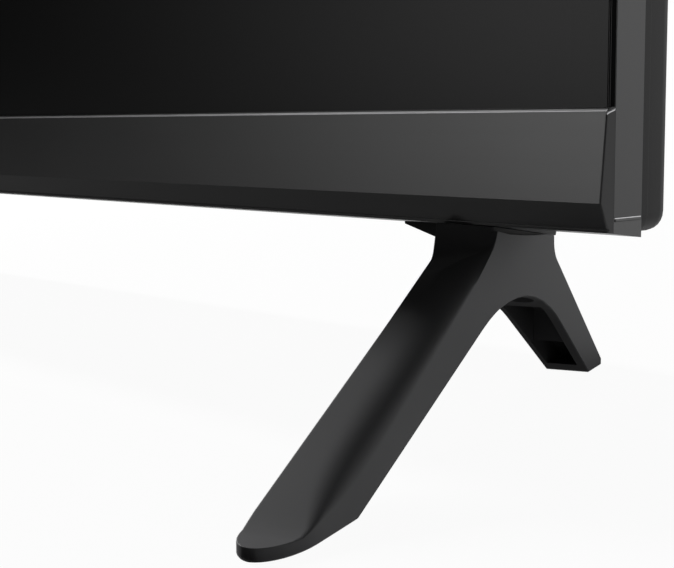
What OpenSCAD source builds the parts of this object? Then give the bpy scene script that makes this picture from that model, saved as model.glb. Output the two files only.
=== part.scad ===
// Flat screen television on two splayed feet, with everything that it holds inside.
// Millimetres, +Z up, the screen faces -Y. The origin is on the table, midway over the feet.

/* [Cabinet] */
// Overall width across the side walls of the frame
cabinet_w = 720; // [712:1:760]
// Height of the cabinet from the chin's lower edge to the top
cabinet_h = 427; // [420:1:450]
// Height of the chin's lower edge above the table
floor_gap = 43; // [41:0.5:50]
// Seam left between the outer parts of the cabinet
seam = 0.15; // [0.1:0.05:0.3]
// Clearance between nested or stacked parts
fit_gap = 0.2; // [0.15:0.05:0.3]

/* [Front frame] */
// Thickness of the frame's side and top walls
frame_wall = 1; // [0.8:0.1:1.4]
// Thickness of the frame's rear flange
flange_t = 1.8; // [1.4:0.1:2.4]
// Width of the frame's rear flange, which clamps the chassis
flange_w = 7; // [5:0.5:9]

/* [Chin] */
// Height of the chin's face above its lower edge
chin_h = 22.9; // [20:0.1:26]
// How far the nose of the chin stands in front of the frame
nose_out = 2.1; // [1.8:0.1:2.6]
// How far the top of the chin's face stands in front of the frame
brow_out = 1.3; // [1:0.1:1.6]
// How far the chin's lower edge stands in front of the frame
lip_out = 0.8; // [0.4:0.1:1.2]
// Height of the bevel below the nose
bevel_h = 5.6; // [4:0.1:8]
// Size of the chamfer along the top of the chin
brow_chamfer = 0.7; // [0.4:0.1:1]
// Run of the end facets along X for each millimetre of depth
end_run = 0.8; // [0.5:0.1:1.2]
// Thickness of the chin's floor at its lower edge
chin_floor = 2.2; // [2:0.1:2.6]
// Height of the corner returns below the side walls of the frame
return_h = 2.7; // [2.6:0.1:4]
// Slope of the underside, down towards the back
underside_angle = 7.5; // [5:0.5:9]

/* [Screen] */
// Depth of the screen's face behind the frame's front edge
screen_inset = 0.8; // [0.6:0.1:1.2]
// Thickness of each glass sheet of the panel
glass_t = 0.7; // [0.5:0.1:1]
// Width of the inner frame's rim beside the panel
rim_w = 0.6; // [0.5:0.1:1]
// Width of the inner frame's shelf behind the panel's edge
shelf_w = 9.3; // [8:0.1:11]
// Thickness of the inner frame's shelf
shelf_t = 1.5; // [1.2:0.1:2]
// Thickness of the foam gasket behind the panel
gasket_t = 0.5; // [0.3:0.1:0.8]
// How far the panel runs down behind the chin
chin_cover = 6; // [5:0.5:8]
// Height of the inner frame's ledge under the panel
ledge_h = 2.5; // [2:0.1:3.5]
// Thickness of each optical film
film_t = 0.3; // [0.2:0.05:0.4]
// Distance of the films' edge from the inner frame's edge
film_inset = 2; // [1.5:0.1:3]
// Thickness of the diffuser plate
plate_t = 1.5; // [1.2:0.1:2]

/* [Backlight] */
// Distance from the diffuser plate to the reflector's floor
light_depth = 20; // [18:0.5:21]
// Width of the flat rim of the reflector and the chassis
tray_rim = 11; // [10:0.5:13]
// Width of the sloping sides of the reflector and the chassis
tray_flare = 36; // [30:1:38]
// Gap between the sides of the reflector and of the chassis
tray_gap = 1; // [0.8:0.1:1.5]
// Thickness of the reflector sheet
reflector_t = 0.4; // [0.3:0.1:0.5]
// Thickness of the chassis's steel
chassis_t = 0.7; // [0.6:0.1:1]
// Rows of lamps, one light bar each
lamp_rows = 3; // [2:1:4]
// Lamps on each light bar
lamp_columns = 8; // [6:1:10]
// Width of a light bar
bar_w = 16; // [15:0.5:20]
// Thickness of a light bar
bar_t = 1.2; // [1:0.1:1.5]
// Radius of a lamp's lens
lens_r = 6; // [5:0.5:7]
// Height of a lamp's lens
lens_h = 5; // [4:0.5:6]
// Radius of the hollow under a lens
lens_hollow_r = 2.6; // [2.4:0.1:3]
// Width of a lamp's chip
chip_w = 3; // [2:0.1:3.2]
// Thickness of a lamp's chip
chip_t = 0.8; // [0.6:0.1:0.9]

/* [Rear cover] */
// Thickness of the cover's wall
cover_wall = 2.2; // [2:0.1:2.6]
// How far the band beside the frame is set in from the frame's side
band_inset = 0.4; // [0.2:0.1:0.6]
// Depth of the band beside the frame
band_depth = 2.5; // [2:0.1:4]
// How far the side wall is set in from the frame's side
cover_inset = 1; // [0.7:0.1:1.5]
// Depth of the cover's side wall, with the band
side_depth = 8.8; // [8:0.1:11]
// Radius of the cover's corners, seen from the front
corner_r = 5; // [4:0.5:8]
// Depth of the sloping flanks behind the side wall
flank_depth = 22; // [21:0.5:25]
// Width of the side flanks
flank_side = 41; // [38:1:43]
// Width of the top flank
flank_top = 42; // [36:1:46]
// Width of the electronics housing where it leaves the cover
housing_w = 510; // [490:2:540]
// Height of the electronics housing where it leaves the cover
housing_h = 292; // [285:1:310]
// Depth of the electronics housing behind the cover's flat back
housing_depth = 38; // [36:0.5:40]
// How far the housing's sides and top draw in towards the back
housing_taper = 30; // [20:1:34]
// How far the housing's floor rises towards the back
housing_rise = 7.5; // [5:0.5:9]
// Distance of each socket wall from the centre
socket_wall_x = 205; // [200:1:212]
// Step between the flat back and the floor of the socket bays
bay_step = 0.6; // [0.4:0.1:1]
// Height of the socket bay's lower end above the chin's lower edge
socket_bay_low = 60; // [58:1:62]
// Height of the socket bay
socket_bay_h = 160; // [156:1:170]
// Height of the mains bay's lower end above the chin's lower edge
mains_bay_low = 110; // [100:1:120]
// Height of the mains bay
mains_bay_h = 50; // [44:1:60]
// Width of a vent slot
vent_w = 2.6; // [2:0.1:3]
// Spacing of the vent slots
vent_pitch = 7; // [6:0.5:10]
// Vent slots in the top row
top_vents = 45; // [21:2:51]
// Vent slots in the floor row
floor_vents = 17; // [9:2:19]
// Sound slots under each speaker
sound_slots = 7; // [5:2:7]

/* [Wall mount] */
// Spacing of the wall mount holes, both ways
wall_mount_pitch = 100; // [75:25:100]
// Distance of the upper holes below the top of the housing's back
wall_mount_drop = 13.5; // [12:0.5:20]
// Radius of the threaded holes
wall_hole_r = 2; // [2:0.5:3]
// Depth of the threaded holes
wall_hole_depth = 15; // [10:1:20]
// Radius of the steel posts
wall_post_r = 6; // [5:0.5:7]
// Depth of a post's end below the housing's back
wall_post_recess = 1; // [0.5:0.1:2]

/* [Feet] */
// Angle that each foot's toe turns outwards
foot_splay = 20.2; // [14:0.1:23]
// Distance of a foot's middle plane from the cabinet's side, at the neck
foot_inset = 40.7; // [39:0.1:44]
// Distance of the neck's middle behind the frame's front edge
neck_setback = 17.3; // [16.5:0.1:18]
// Length of the neck ahead of its middle
neck_front = 19.7; // [18:0.1:21]
// Length of the neck behind its middle
neck_back = 19.7; // [18:0.1:20]
// Reach of the toe ahead of the neck's middle
toe_reach = 113.3; // [105:0.1:120]
// Length of the toe's rounded nose
toe_round = 11.8; // [9:0.1:14]
// Height of the toe's edge
toe_h = 2.2; // [2:0.1:3]
// Length of the flatter tip of the front leg
toe_flat = 13; // [10:0.5:16]
// Reach of the front leg's lower edge on the table
heel_reach = 87.3; // [84:0.1:92]
// Reach of the rear leg's end behind the neck's middle
rear_reach = 65.5; // [62:0.1:68]
// Reach of the rear leg's inner edge on the table
rear_inner_reach = 51.5; // [49:0.1:53]
// Slope of the front leg's upper face
front_angle = 23.7; // [22:0.1:25]
// Height of the front leg's upper face below the neck's middle
brow_z = 48.4; // [47:0.1:49.5]
// Slope of the arch's front side
arch_front_angle = 20.8; // [20:0.1:21.5]
// Slope of the arch's rear side
arch_rear_angle = 32.6; // [32:0.1:33.5]
// Radius of the arch's crown
arch_r = 60; // [50:1:65]
// Slope of the rear leg's back
back_angle = 36.3; // [35:0.1:37]
// Width of the front leg
foot_w = 11.4; // [11:0.1:13]
// Width of the neck
neck_w = 13.5; // [13.2:0.1:15]
// Width of the rear leg's end
rear_w = 10.5; // [10:0.1:11.4]
// Thickness of the foot's walls
foot_wall = 2.2; // [1.8:0.1:2.6]
// Thickness of the closed ends of the legs
sole_t = 3; // [2.6:0.1:3.6]
// How far the rubber pads stand out under the foot
pad_proud = 0.4; // [0.3:0.1:0.6]
// Depth of the recess that holds a pad
pad_recess = 0.8; // [0.6:0.1:1]

/* [Electronics] */
// Width of each circuit board
board_w = 128; // [120:1:130]
// Height of each circuit board
board_h = 150; // [148:1:154]
// Thickness of the circuit boards
board_t = 1.6; // [1.2:0.1:2]
// Distance of the boards' back from the floor of the socket bays
socket_lift = 0.8; // [0.5:0.1:1.5]
// Distance of a board's fixing holes from its edges
board_hole_inset = 6; // [5:0.5:8]
// Thickness of the metal shells of the sockets
shell_t = 0.6; // [0.5:0.1:0.8]
// Gap between a socket and its cut-out in the cover
socket_gap = 0.5; // [0.4:0.1:0.8]

/* [Speakers] */
// Distance of each speaker's middle from the centre
speaker_x = 150; // [140:1:156]
// Width of a speaker box
speaker_w = 100; // [90:1:104]
// Height of a speaker box
speaker_h = 34; // [32:1:35]
// Depth of a speaker box
speaker_d = 30; // [29:0.5:30]
// Wall thickness of a speaker box
speaker_wall = 2; // [1.6:0.1:2.4]
// Radius of the driver's basket
basket_r = 12.5; // [12:0.1:12.6]
// Travel of a cone each way
cone_travel = 1; // [0.5:0.1:1.2]
// Running gap around a cone
cone_gap = 0.3; // [0.25:0.05:0.5]

/* [Power key] */
// Distance of the key from the centre, to the left
key_left = 70; // [66:1:74]
// Length of the key
key_w = 12; // [10:0.5:14]
// Depth of the key, front to back
key_d = 4; // [3.5:0.1:4.4]
// Travel of the key
key_travel = 0.6; // [0.4:0.1:0.8]
// How far the key stands out under the chin
key_proud = 0.6; // [0.4:0.1:0.8]
// Running gap around the key and its plunger
key_gap = 0.3; // [0.25:0.05:0.4]
// Radius of the switch's plunger
plunger_r = 1.6; // [1.4:0.1:1.8]

/* [Fasteners] */
// Radius of the foot screws
foot_screw_r = 1.9; // [1.7:0.1:2]
// Distance of the front foot screw ahead of the neck's middle
foot_screw_front = 3.5; // [3:0.1:4]
// Distance of the rear foot screw behind the neck's middle
foot_screw_back = 9.5; // [9:0.1:10]
// Radius of the smaller screws
screw_r = 1.4; // [1.2:0.1:1.5]
// Radius that a hole adds to its screw
hole_gap = 0.25; // [0.15:0.05:0.3]

/* [Hidden] */

$fn = 48;
// Overrun of a cutting shape past the face that it cuts
over = 1;
// Overlap of two cutting shapes that meet
mouth_bite = 0.1;
sides = [-1, 1];

// Outline helpers
function unit(v) = v / norm(v);
function rect(half, low, high) = [[-half, low], [half, low], [half, high], [-half, high]];
function grow(r, by) = rect(r[1][0] + by, r[0][1] - by, r[2][1] + by);
wide_arc_r = 20;
wide_arc_steps = 16;
small_arc_steps = 6;
function arc_steps(r) = r > wide_arc_r ? wide_arc_steps : small_arc_steps;
function corner_arc(a, p, b, r) =
  r == 0 ? [p] :
  let (
    to_a = unit(a - p),
    to_b = unit(b - p),
    half = acos(to_a * to_b) / 2,
    middle = p + unit(to_a + to_b) * r / sin(half),
    first = p + to_a * r / tan(half) - middle,
    last = p + to_b * r / tan(half) - middle,
    turn = atan2(first[0] * last[1] - first[1] * last[0], first * last),
    steps = arc_steps(r)
  )
  [for (i = [0 : steps])
    let (angle = turn * i / steps)
    middle + [first[0] * cos(angle) - first[1] * sin(angle),
              first[0] * sin(angle) + first[1] * cos(angle)]];
function flat(p) = [p[0], p[1]];
function rounded(corners) =
  let (n = len(corners))
  [for (i = [0 : n - 1])
    each corner_arc(flat(corners[(i + n - 1) % n]), flat(corners[i]),
                    flat(corners[(i + 1) % n]), corners[i][2])];
function rounded_rect(r, radius) = rounded([for (p = r) [p[0], p[1], radius]]);
function reversed(list) = [for (i = [len(list) - 1 : -1 : 0]) list[i]];
// Normal of a path at its point i, lengthened at a bend so that a strip keeps its width
function path_normal(path, i) =
  let (
    before = unit(path[max(i, 1)] - path[max(i, 1) - 1]),
    after = unit(path[min(i, len(path) - 2) + 1] - path[min(i, len(path) - 2)]),
    mean = unit(before + after)
  )
  [-mean[1], mean[0]] / (mean * after);
function strip(path, t) =
  concat([for (i = [0 : len(path) - 1]) path[i] + path_normal(path, i) * t / 2],
         reversed([for (i = [0 : len(path) - 1]) path[i] - path_normal(path, i) * t / 2]));

// Depths behind the frame's front edge, layer by layer
cell_d = screen_inset;
gasket_d = cell_d + 2 * glass_t;
shelf_d = gasket_d + gasket_t;
films_d = shelf_d + shelf_t;
plate_d = films_d + 2 * film_t;
reflector_d = plate_d + plate_t;
chassis_d = reflector_d + reflector_t;
flange_d = chassis_d + chassis_t;
frame_depth = flange_d + flange_t;
light_floor_d = reflector_d + light_depth;
bar_d = light_floor_d + reflector_t + fit_gap;
chassis_floor_d = bar_d + bar_t;
chassis_back_d = chassis_floor_d + chassis_t;
cover_d = frame_depth + seam;
side_end_d = cover_d + side_depth;
back_d = side_end_d + flank_depth;
housing_back_d = back_d + housing_depth;
bay_floor_d = back_d + bay_step;
board_back_d = bay_floor_d + socket_lift;
board_d = board_back_d - board_t;

// Heights
base_z = floor_gap;
top_z = base_z + cabinet_h;
seam_z = base_z + return_h + seam;
chin_top_z = base_z + chin_h + brow_chamfer;
cell_low_z = chin_top_z - chin_cover;
inner_low_z = cell_low_z - ledge_h;
inner_high_z = top_z - frame_wall - fit_gap;
chin_floor_z = base_z + chin_floor;

// Outlines seen from the front, as half widths and heights
half_w = cabinet_w / 2;
inner_half = half_w - frame_wall - fit_gap;
inner_rect = rect(inner_half, inner_low_z, inner_high_z);
cell_rect = rect(inner_half - rim_w - fit_gap, cell_low_z, inner_high_z - rim_w - fit_gap);
window_rect = rect(inner_half - shelf_w, chin_top_z + fit_gap, inner_high_z - shelf_w);
film_rect = grow(inner_rect, -film_inset);
mouth_rect = grow(film_rect, -tray_rim);
floor_rect = grow(mouth_rect, -tray_flare);
chassis_floor_rect = grow(floor_rect, tray_gap);
floor_half = floor_rect[1][0];
floor_low_z = floor_rect[0][1];
floor_high_z = floor_rect[2][1];

// Feet, in a frame of their own: +X outwards, -Y to the toe, the neck's middle at the origin
foot_half = foot_w / 2;
toe_middle = toe_reach - toe_round;
toe_swing = norm([toe_round * cos(foot_splay), foot_half * sin(foot_splay)]);
reach_front = toe_middle * cos(foot_splay) + toe_swing;
reach_back = rear_reach * cos(foot_splay) + foot_half * sin(foot_splay);
neck_x = half_w - foot_inset;
neck_y = (reach_front - reach_back) / 2;
front_y = neck_y - neck_setback;
// Taper of the front leg's inner side between the neck and its full length
leg_taper_end = 50;
neck_fillet = 8;
rear_fillet = 6;
neck_lean = 0.6;
// How far the neck's front leans out at its foot and in at its top
neck_out = 1.2;
neck_in = 1.8;
// Blend of the leg into its toe, and round of the rear end
toe_blend_r = 30;
toe_step = 10;
rear_end_r = 1.2;
// Distance of the pads from the edges of the foot
toe_pad_margin = 2.2;
rear_pad_margin = 2.5;
function front_face_z(u) = brow_z - u * tan(front_angle);
function back_face_z(u) = pad_proud + (rear_reach + u) * tan(back_angle);
arch_peak_u = (heel_reach * tan(arch_front_angle) - rear_inner_reach * tan(arch_rear_angle))
  / (tan(arch_front_angle) + tan(arch_rear_angle));
arch_peak_z = (heel_reach - arch_peak_u) * tan(arch_front_angle) + pad_proud;
foot_screw_at = [[0, -foot_screw_front], [0, foot_screw_back]];
foot_screw_seat_z = 30;
foot_screw_head_r = 3.6;
foot_screw_head_h = 2.6;
foot_screw_room = 0.4;

// Bracket that rests on the cover's bosses, which stand a little above the cover's floor
boss_up = 0.3;
boss_top_z = base_z + cover_inset + cover_wall + boss_up;
bracket_t = 2.5;
bracket_nut_r = 4;
bracket_nut_h = 4;
bracket_side = 22;
bracket_edge = 4;
bracket_up = 30;
bracket_screw_up = [8, 22];
bracket_reach_x = 8;

// Rear cover
cover_rect = rect(half_w - cover_inset, base_z + cover_inset, top_z - cover_inset);
band_rect = grow(cover_rect, cover_inset - band_inset);
back_rect = rect(half_w - cover_inset - flank_side, base_z + cover_inset,
                 top_z - cover_inset - flank_top);
housing_lift = 1.5;
housing_low_z = base_z + housing_lift;
housing_rect = rect(housing_w / 2, housing_low_z, housing_low_z + housing_h);
housing_back_rect = rect(housing_w / 2 - housing_taper, housing_low_z + housing_rise,
                         housing_low_z + housing_h - housing_taper);
housing_lap = 4;
bay_reach = housing_w / 2;
socket_bay = [base_z + socket_bay_low, base_z + socket_bay_low + socket_bay_h];
mains_bay = [base_z + mains_bay_low, base_z + mains_bay_low + mains_bay_h];
boss_margin = [2.2, 22.7];
boss_drop = 7;
boss_side = 1;
boss_back = 1;

// Screws that hold the cover
well_r = 5;
well_depth = 4;
well_seat = 2;
well_wall = 2;
cover_screw_head_r = 3.6;
cover_screw_head_h = 2.2;
cover_screw_len = 6;
cover_screw_edge = 15;
cover_screw_low = 60;
cover_screw_middle_z = (floor_low_z + cover_screw_low + floor_high_z - cover_screw_edge) / 2;
cover_screw_at = concat(
  [for (s = sides, z = [floor_low_z + cover_screw_low, cover_screw_middle_z,
                        floor_high_z - cover_screw_edge])
    [s * (floor_half - cover_screw_edge), z]],
  [[0, floor_high_z - cover_screw_edge]]);

// Boards
// Gap between a board's edge and the socket wall
board_clear = 1;
// Height of the boards' lower edge above the chin's lower edge
board_up = 57;
// Strip along a board's outer edge that is kept for the sockets
socket_strip = 14;
board_outer_x = socket_wall_x - cover_wall - board_clear;
board_inner_x = board_outer_x - board_w;
board_low_z = base_z + board_up;
board_high_z = board_low_z + board_h;
board_post_r = 4;
board_screw_head_r = 2.8;
board_screw_head_h = 1.8;
board_screw_bite = 3;
board_hole_x = [board_inner_x + board_hole_inset, board_outer_x - board_hole_inset - socket_strip];
board_hole_z = [board_low_z + board_hole_inset, board_high_z - board_hole_inset];
board_hole_at = [for (x = board_hole_x, z = board_hole_z) [x, z]];
// How far the sockets' mouths lie behind the face of the socket wall
mouth_recess = 1;
mouth_x = socket_wall_x - mouth_recess;

// Sockets along the edge of the main board: height above the board's lower edge, then size
video_up = [140, 116];
video_at = [for (up = video_up) board_low_z + up];
video_size = [12, 7, 15.4];
data_up = 92;
data_at = board_low_z + data_up;
data_size = [14, 7.2, 14.6];
network_up = 64;
network_at = board_low_z + network_up;
network_size = [16, 13.5, 16];
network_hollow = [13, 8.5, 12];
antenna_up = 28;
antenna_at = board_low_z + antenna_up;
antenna_r = 5;
antenna_bore_r = 4.2;
antenna_len = 14;
antenna_bore = 11;
// Distance of the antenna socket's axis from the board
antenna_off = 8;
tuner_size = [34, 16, 24];

// Mains inlet on the edge of the power board
inlet_at = (mains_bay[0] + mains_bay[1]) / 2;
inlet_size = [24, 14, 22];
inlet_hollow = [16, 8];
inlet_hollow_depth = 14;
pin_r = 1.2;
pin_pitch = 8.6;
pin_len = 10;

// Parts on the boards, by size
chip_size = [26, 2.4, 26];
sink_base = 4;
sink_fin_h = 12;
sink_fin_t = 1.6;
sink_fin_gap = 4.4;
sink_fins = 7;
memory_size = [12, 1.4, 9];
connector_size = [14, 5, 7];
// How far a plug is wider than its cable, on each side
plug_margin = 2;
function plug_size(cable) = [cable + 2 * plug_margin, connector_size[1], connector_size[2]];

// Leads and ribbons
lead_r = 0.9;
lead_pitch = 2.4;
cable_t = 0.3;
cable_w = 30;
cable_at = -145;
cable_off = 2;
// Ends of the source board, from the cabinet's left side and from the centre
source_end_in = 20;
source_inner = 108;
source_span = [source_end_in - half_w, -source_inner];
source_low = 0.3;
source_h = 9.6;
source_t = 1;
source_set_in = 2.8;
source_d = frame_depth - source_set_in;
drive_film_w = 28;
drive_films_n = 4;
film_drop = 9;
control_lead_w = 8;
control_lead_at = -96;
control_lead_in = 1;

// Speakers
speaker_lift = 4.2;
speaker_set_back = 1;
speaker_front_d = back_d + speaker_set_back;
speaker_mid_d = speaker_front_d + speaker_d / 2;
speaker_low_z = housing_low_z + housing_rise + cover_wall + speaker_lift;
speaker_flange_t = 2;
speaker_flange_w = 2;
basket_wall = 1;
magnet_r = 11;
magnet_h = 8;
cone_t = 0.7;
cone_h = 6;
coil_r = 5;
coil_h = 3;
cone_land = 2;
// Room left over the coil when the cone is fully in
cone_room = 2;
basket_h = cone_h + coil_h + cone_travel + cone_room + basket_wall;
rib_t = 3;
rib_in = 8;

// Control board behind the chin
control_up = 5.8;
control_span = [-104, 24];
control_t = 1.2;
control_front_gap = 0.4;
control_back_gap = 1.2;
control_front_d = screen_inset + control_front_gap;
control_back_d = frame_depth - control_back_gap;
control_mid_d = 4.2;
control_post_w = 3;
key_flange = 1.2;
key_flange_t = 1;
switch_w = 6;
switch_gap = 0.4;
plunger_len = 1.4;
lens_w = 16;
lens_d = 3.6;
lens_drop = 2.4;
lens_flange = 1.4;
lens_flange_t = 1.2;
receiver_size = [6, 4];

// Line of the cabinet's underside, as the height at a depth behind the frame's front edge
function under_z(d) = base_z - (d + lip_out) * tan(underside_angle);

// Placing helpers
module slab(outline, d0, d1) {
  translate([0, front_y + d1, 0]) rotate([90, 0, 0]) linear_extrude(d1 - d0) polygon(outline);
}

module beam(profile, x0, x1) {
  translate([x0, front_y, 0]) rotate([90, 0, 90]) linear_extrude(x1 - x0) polygon(profile);
}

module block(x0, x1, d0, d1, z0, z1) {
  translate([x0, front_y + d0, z0]) cube([x1 - x0, d1 - d0, z1 - z0]);
}

module rod(x, z, d0, d1, r) {
  translate([x, front_y + d0, z]) rotate([-90, 0, 0]) cylinder(r = r, h = d1 - d0);
}

module upright(x, d, z0, z1, r) {
  translate([x, front_y + d, z0]) cylinder(r = r, h = z1 - z0);
}

module cross_rod(x0, x1, d, z, r) {
  translate([x0, front_y + d, z]) rotate([0, 90, 0]) cylinder(r = r, h = x1 - x0);
}

// Straight blend between two outlines with the same number of points
module loft(first, d0, last, d1) {
  n = len(first);
  points = concat([for (p = first) [p[0], front_y + d0, p[1]]],
                  [for (p = last) [p[0], front_y + d1, p[1]]]);
  walls = [for (i = [0 : n - 1]) [i, (i + 1) % n, n + (i + 1) % n, n + i]];
  caps = [[for (i = [n - 1 : -1 : 0]) i], [for (i = [0 : n - 1]) n + i]];
  polyhedron(points, concat(walls, caps));
}

// Sheet tray: a flat rim, sloping sides and a floor
module tray(rim, mouth, floor_outline, d_rim, d_floor, t) {
  difference() {
    union() {
      slab(rim, d_rim, d_rim + t);
      loft(grow(mouth, t), d_rim, grow(floor_outline, t), d_floor + t);
    }
    loft(mouth, d_rim, floor_outline, d_floor);
    slab(mouth, d_rim - over, d_rim + mouth_bite);
  }
}

// Everything below, or above, the sloping underside
module under_space(gap, up) {
  reach = 400;
  far = up ? base_z + reach : base_z - reach;
  beam([[-reach, under_z(-reach) - gap], [reach, under_z(reach) - gap], [reach, far], [-reach, far]],
       -half_w - over, half_w + over);
}

module at_foot(side) {
  mirror([side < 0 ? 1 : 0, 0, 0]) translate([neck_x, neck_y, 0]) rotate([0, 0, foot_splay]) children();
}

// Front frame

module bezel_frame() {
  color("#3a3a3c") difference() {
    slab(rect(half_w, seam_z, top_z), 0, frame_depth);
    slab(rect(half_w - frame_wall, seam_z - over, top_z - frame_wall), -over, flange_d);
    slab(rect(half_w - frame_wall - flange_w, seam_z - over, top_z - frame_wall - flange_w),
         -over, frame_depth + over);
  }
}

// Reach of the cuts below the chin's lower edge
hole_reach = 5;
chin_back_d = cell_d - fit_gap;
chin_profile = [
  [-lip_out, base_z],
  [frame_depth, under_z(frame_depth)],
  [frame_depth, chin_floor_z],
  [chin_back_d, chin_floor_z],
  [chin_back_d, chin_top_z],
  [brow_chamfer - brow_out, chin_top_z],
  [-brow_out, chin_top_z - brow_chamfer],
  [-nose_out, base_z + bevel_h]
];

module chin_ends() {
  reach = nose_out + over;
  facet = half_w - reach * end_run;
  translate([0, front_y, 0]) linear_extrude(chin_top_z + over)
    polygon([[-half_w, frame_depth], [-half_w, 0], [-facet, -reach],
             [facet, -reach], [half_w, 0], [half_w, frame_depth]]);
}

module key_hole() {
  block(-key_left - key_w / 2 - key_gap, -key_left + key_w / 2 + key_gap,
        control_mid_d - key_d / 2 - key_gap, control_mid_d + key_d / 2 + key_gap,
        base_z - hole_reach, chin_floor_z + over);
}

module lens_hole() {
  block(-lens_w / 2 - fit_gap, lens_w / 2 + fit_gap,
        control_mid_d - lens_d / 2 - fit_gap, control_mid_d + lens_d / 2 + fit_gap,
        base_z - hole_reach, chin_floor_z + over);
}

module chin() {
  color("#2f2f31") {
    difference() {
      intersection() {
        beam(chin_profile, -half_w, half_w);
        chin_ends();
      }
      for (s = sides)
        translate([s * (half_w + inner_half + over) / 2, front_y + frame_depth / 2,
                   (base_z + return_h + chin_top_z + over) / 2])
          cube([half_w + over - inner_half, frame_depth + 2 * seam, chin_top_z + over - base_z - return_h],
               center = true);
      key_hole();
      lens_hole();
    }
    for (s = sides)
      translate([s * (half_w - frame_wall), front_y + frame_depth / 2,
                 (chin_floor_z + base_z + return_h) / 2])
        cube([2 * frame_wall, frame_depth, base_z + return_h - chin_floor_z], center = true);
    for (x = control_span)
      block(min(x, x - sign(x) * control_post_w), max(x, x - sign(x) * control_post_w),
            control_mid_d - control_post_w / 2, control_mid_d + control_post_w / 2,
            chin_floor_z, chin_floor_z + control_up);
  }
}

// Screen stack

module screen_glass() {
  color("#0b0b0d") slab(cell_rect, cell_d, cell_d + glass_t);
}

module panel_rear_glass() {
  color("#1a1a1e") slab(cell_rect, cell_d + glass_t, gasket_d);
}

module panel_gasket() {
  color("#202020") difference() {
    slab(grow(cell_rect, -fit_gap), gasket_d, shelf_d);
    slab(window_rect, gasket_d - over, shelf_d + over);
  }
}

function drive_film_x(i) =
  source_span[0] + (source_span[1] - source_span[0]) * (i + 0.5) / drive_films_n;

module inner_frame() {
  color("#4a4a4c") difference() {
    slab(inner_rect, cell_d, films_d);
    slab(grow(cell_rect, fit_gap), cell_d - over, shelf_d);
    slab(window_rect, cell_d - over, films_d + over);
    for (i = [0 : drive_films_n - 1])
      block(drive_film_x(i) - drive_film_w / 2 - fit_gap,
            drive_film_x(i) + drive_film_w / 2 + fit_gap,
            cell_d - over, shelf_d, inner_low_z - over, cell_low_z);
  }
}

module prism_film() {
  color("#d8dde2") slab(film_rect, films_d, films_d + film_t);
}

module diffuser_film() {
  color("#e6e8ea") slab(film_rect, films_d + film_t, plate_d);
}

module diffuser_plate() {
  color("#f2f2f0") slab(film_rect, plate_d, reflector_d);
}

// Backlight

// Radius of a lens's dome for each millimetre of its own radius
lens_dome = 1.2;
bar_pitch = (floor_high_z - floor_low_z) / lamp_rows;
lamp_pitch = 2 * floor_half / lamp_columns;
bar_end = 4;
bar_half = floor_half - bar_end;
function bar_z(row) = floor_low_z + bar_pitch * (row + 0.5);
lamp_at = [for (row = [0 : lamp_rows - 1], c = [0 : lamp_columns - 1])
  [lamp_pitch * (c + 0.5) - floor_half, bar_z(row)]];

module reflector() {
  color("#f4f5f5") difference() {
    tray(film_rect, mouth_rect, floor_rect, reflector_d, light_floor_d, reflector_t);
    for (p = lamp_at)
      rod(p[0], p[1], light_floor_d - over, light_floor_d + reflector_t + over, lens_r + fit_gap);
  }
}

module lamp_lenses() {
  color("#e9f0f4") for (p = lamp_at)
    difference() {
      intersection() {
        rod(p[0], p[1], bar_d - lens_h, bar_d, lens_r);
        translate([p[0], front_y + bar_d + lens_r - lens_h, p[1]]) sphere(r = lens_r * lens_dome);
      }
      rod(p[0], p[1], bar_d - chip_t - fit_gap, bar_d + over, lens_hollow_r);
    }
}

module lamp_chips() {
  color("#f2dc7a") for (p = lamp_at)
    block(p[0] - chip_w / 2, p[0] + chip_w / 2, bar_d - chip_t, bar_d,
          p[1] - chip_w / 2, p[1] + chip_w / 2);
}

module light_bars() {
  color("#eceff0") for (row = [0 : lamp_rows - 1])
    block(-bar_half, bar_half, bar_d, chassis_floor_d,
          bar_z(row) - bar_w / 2, bar_z(row) + bar_w / 2);
}

bracket_x = floor_half - bracket_side;
bracket_screw_at = [for (s = sides, up = bracket_screw_up)
  [s * (floor_half - (bracket_side + bracket_edge) / 2), floor_low_z + up]];
bracket_screw_out = 0.4;
bracket_screw_tip_d = chassis_floor_d - bracket_screw_out;

module backlight_chassis() {
  color("#b9bcbf") difference() {
    union() {
      tray(film_rect, grow(mouth_rect, tray_gap), chassis_floor_rect,
           chassis_d, chassis_floor_d, chassis_t);
      for (s = sides, p = board_hole_at)
        rod(s * p[0], p[1], chassis_back_d, board_d, board_post_r);
      for (p = cover_screw_at)
        rod(p[0], p[1], chassis_back_d, back_d - well_depth - well_seat, well_r);
    }
    for (s = sides, p = board_hole_at)
      rod(s * p[0], p[1], chassis_back_d + over, board_d + over, screw_r + hole_gap);
    for (p = cover_screw_at)
      rod(p[0], p[1], chassis_back_d + fit_gap, back_d, screw_r + hole_gap);
    for (p = bracket_screw_at)
      rod(p[0], p[1], chassis_floor_d - over, chassis_back_d + over, screw_r + hole_gap);
  }
}

// Panel drive

source_low_z = chin_floor_z + source_low;
source_plug_h = 6;
source_plug_d = 3;
source_plug_up = 2;
source_plug_z = source_low_z + source_plug_up;

module source_board() {
  color("#1f5f37") {
    block(source_span[0], source_span[1], source_d, source_d + source_t,
          source_low_z, source_low_z + source_h);
    block(cable_at - cable_w / 2 - plug_margin, cable_at + cable_w / 2 + plug_margin, source_d + source_t,
          source_d + source_t + source_plug_d, source_plug_z, source_plug_z + source_plug_h);
  }
}

film_line_d = cell_d + glass_t;

module drive_films() {
  color("#8a6a2f") for (i = [0 : drive_films_n - 1])
    beam(strip([[film_line_d, cell_low_z], [film_line_d, cell_low_z - film_drop],
                [source_d, cell_low_z - film_drop]], cable_t),
         drive_film_x(i) - drive_film_w / 2, drive_film_x(i) + drive_film_w / 2);
}

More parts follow.
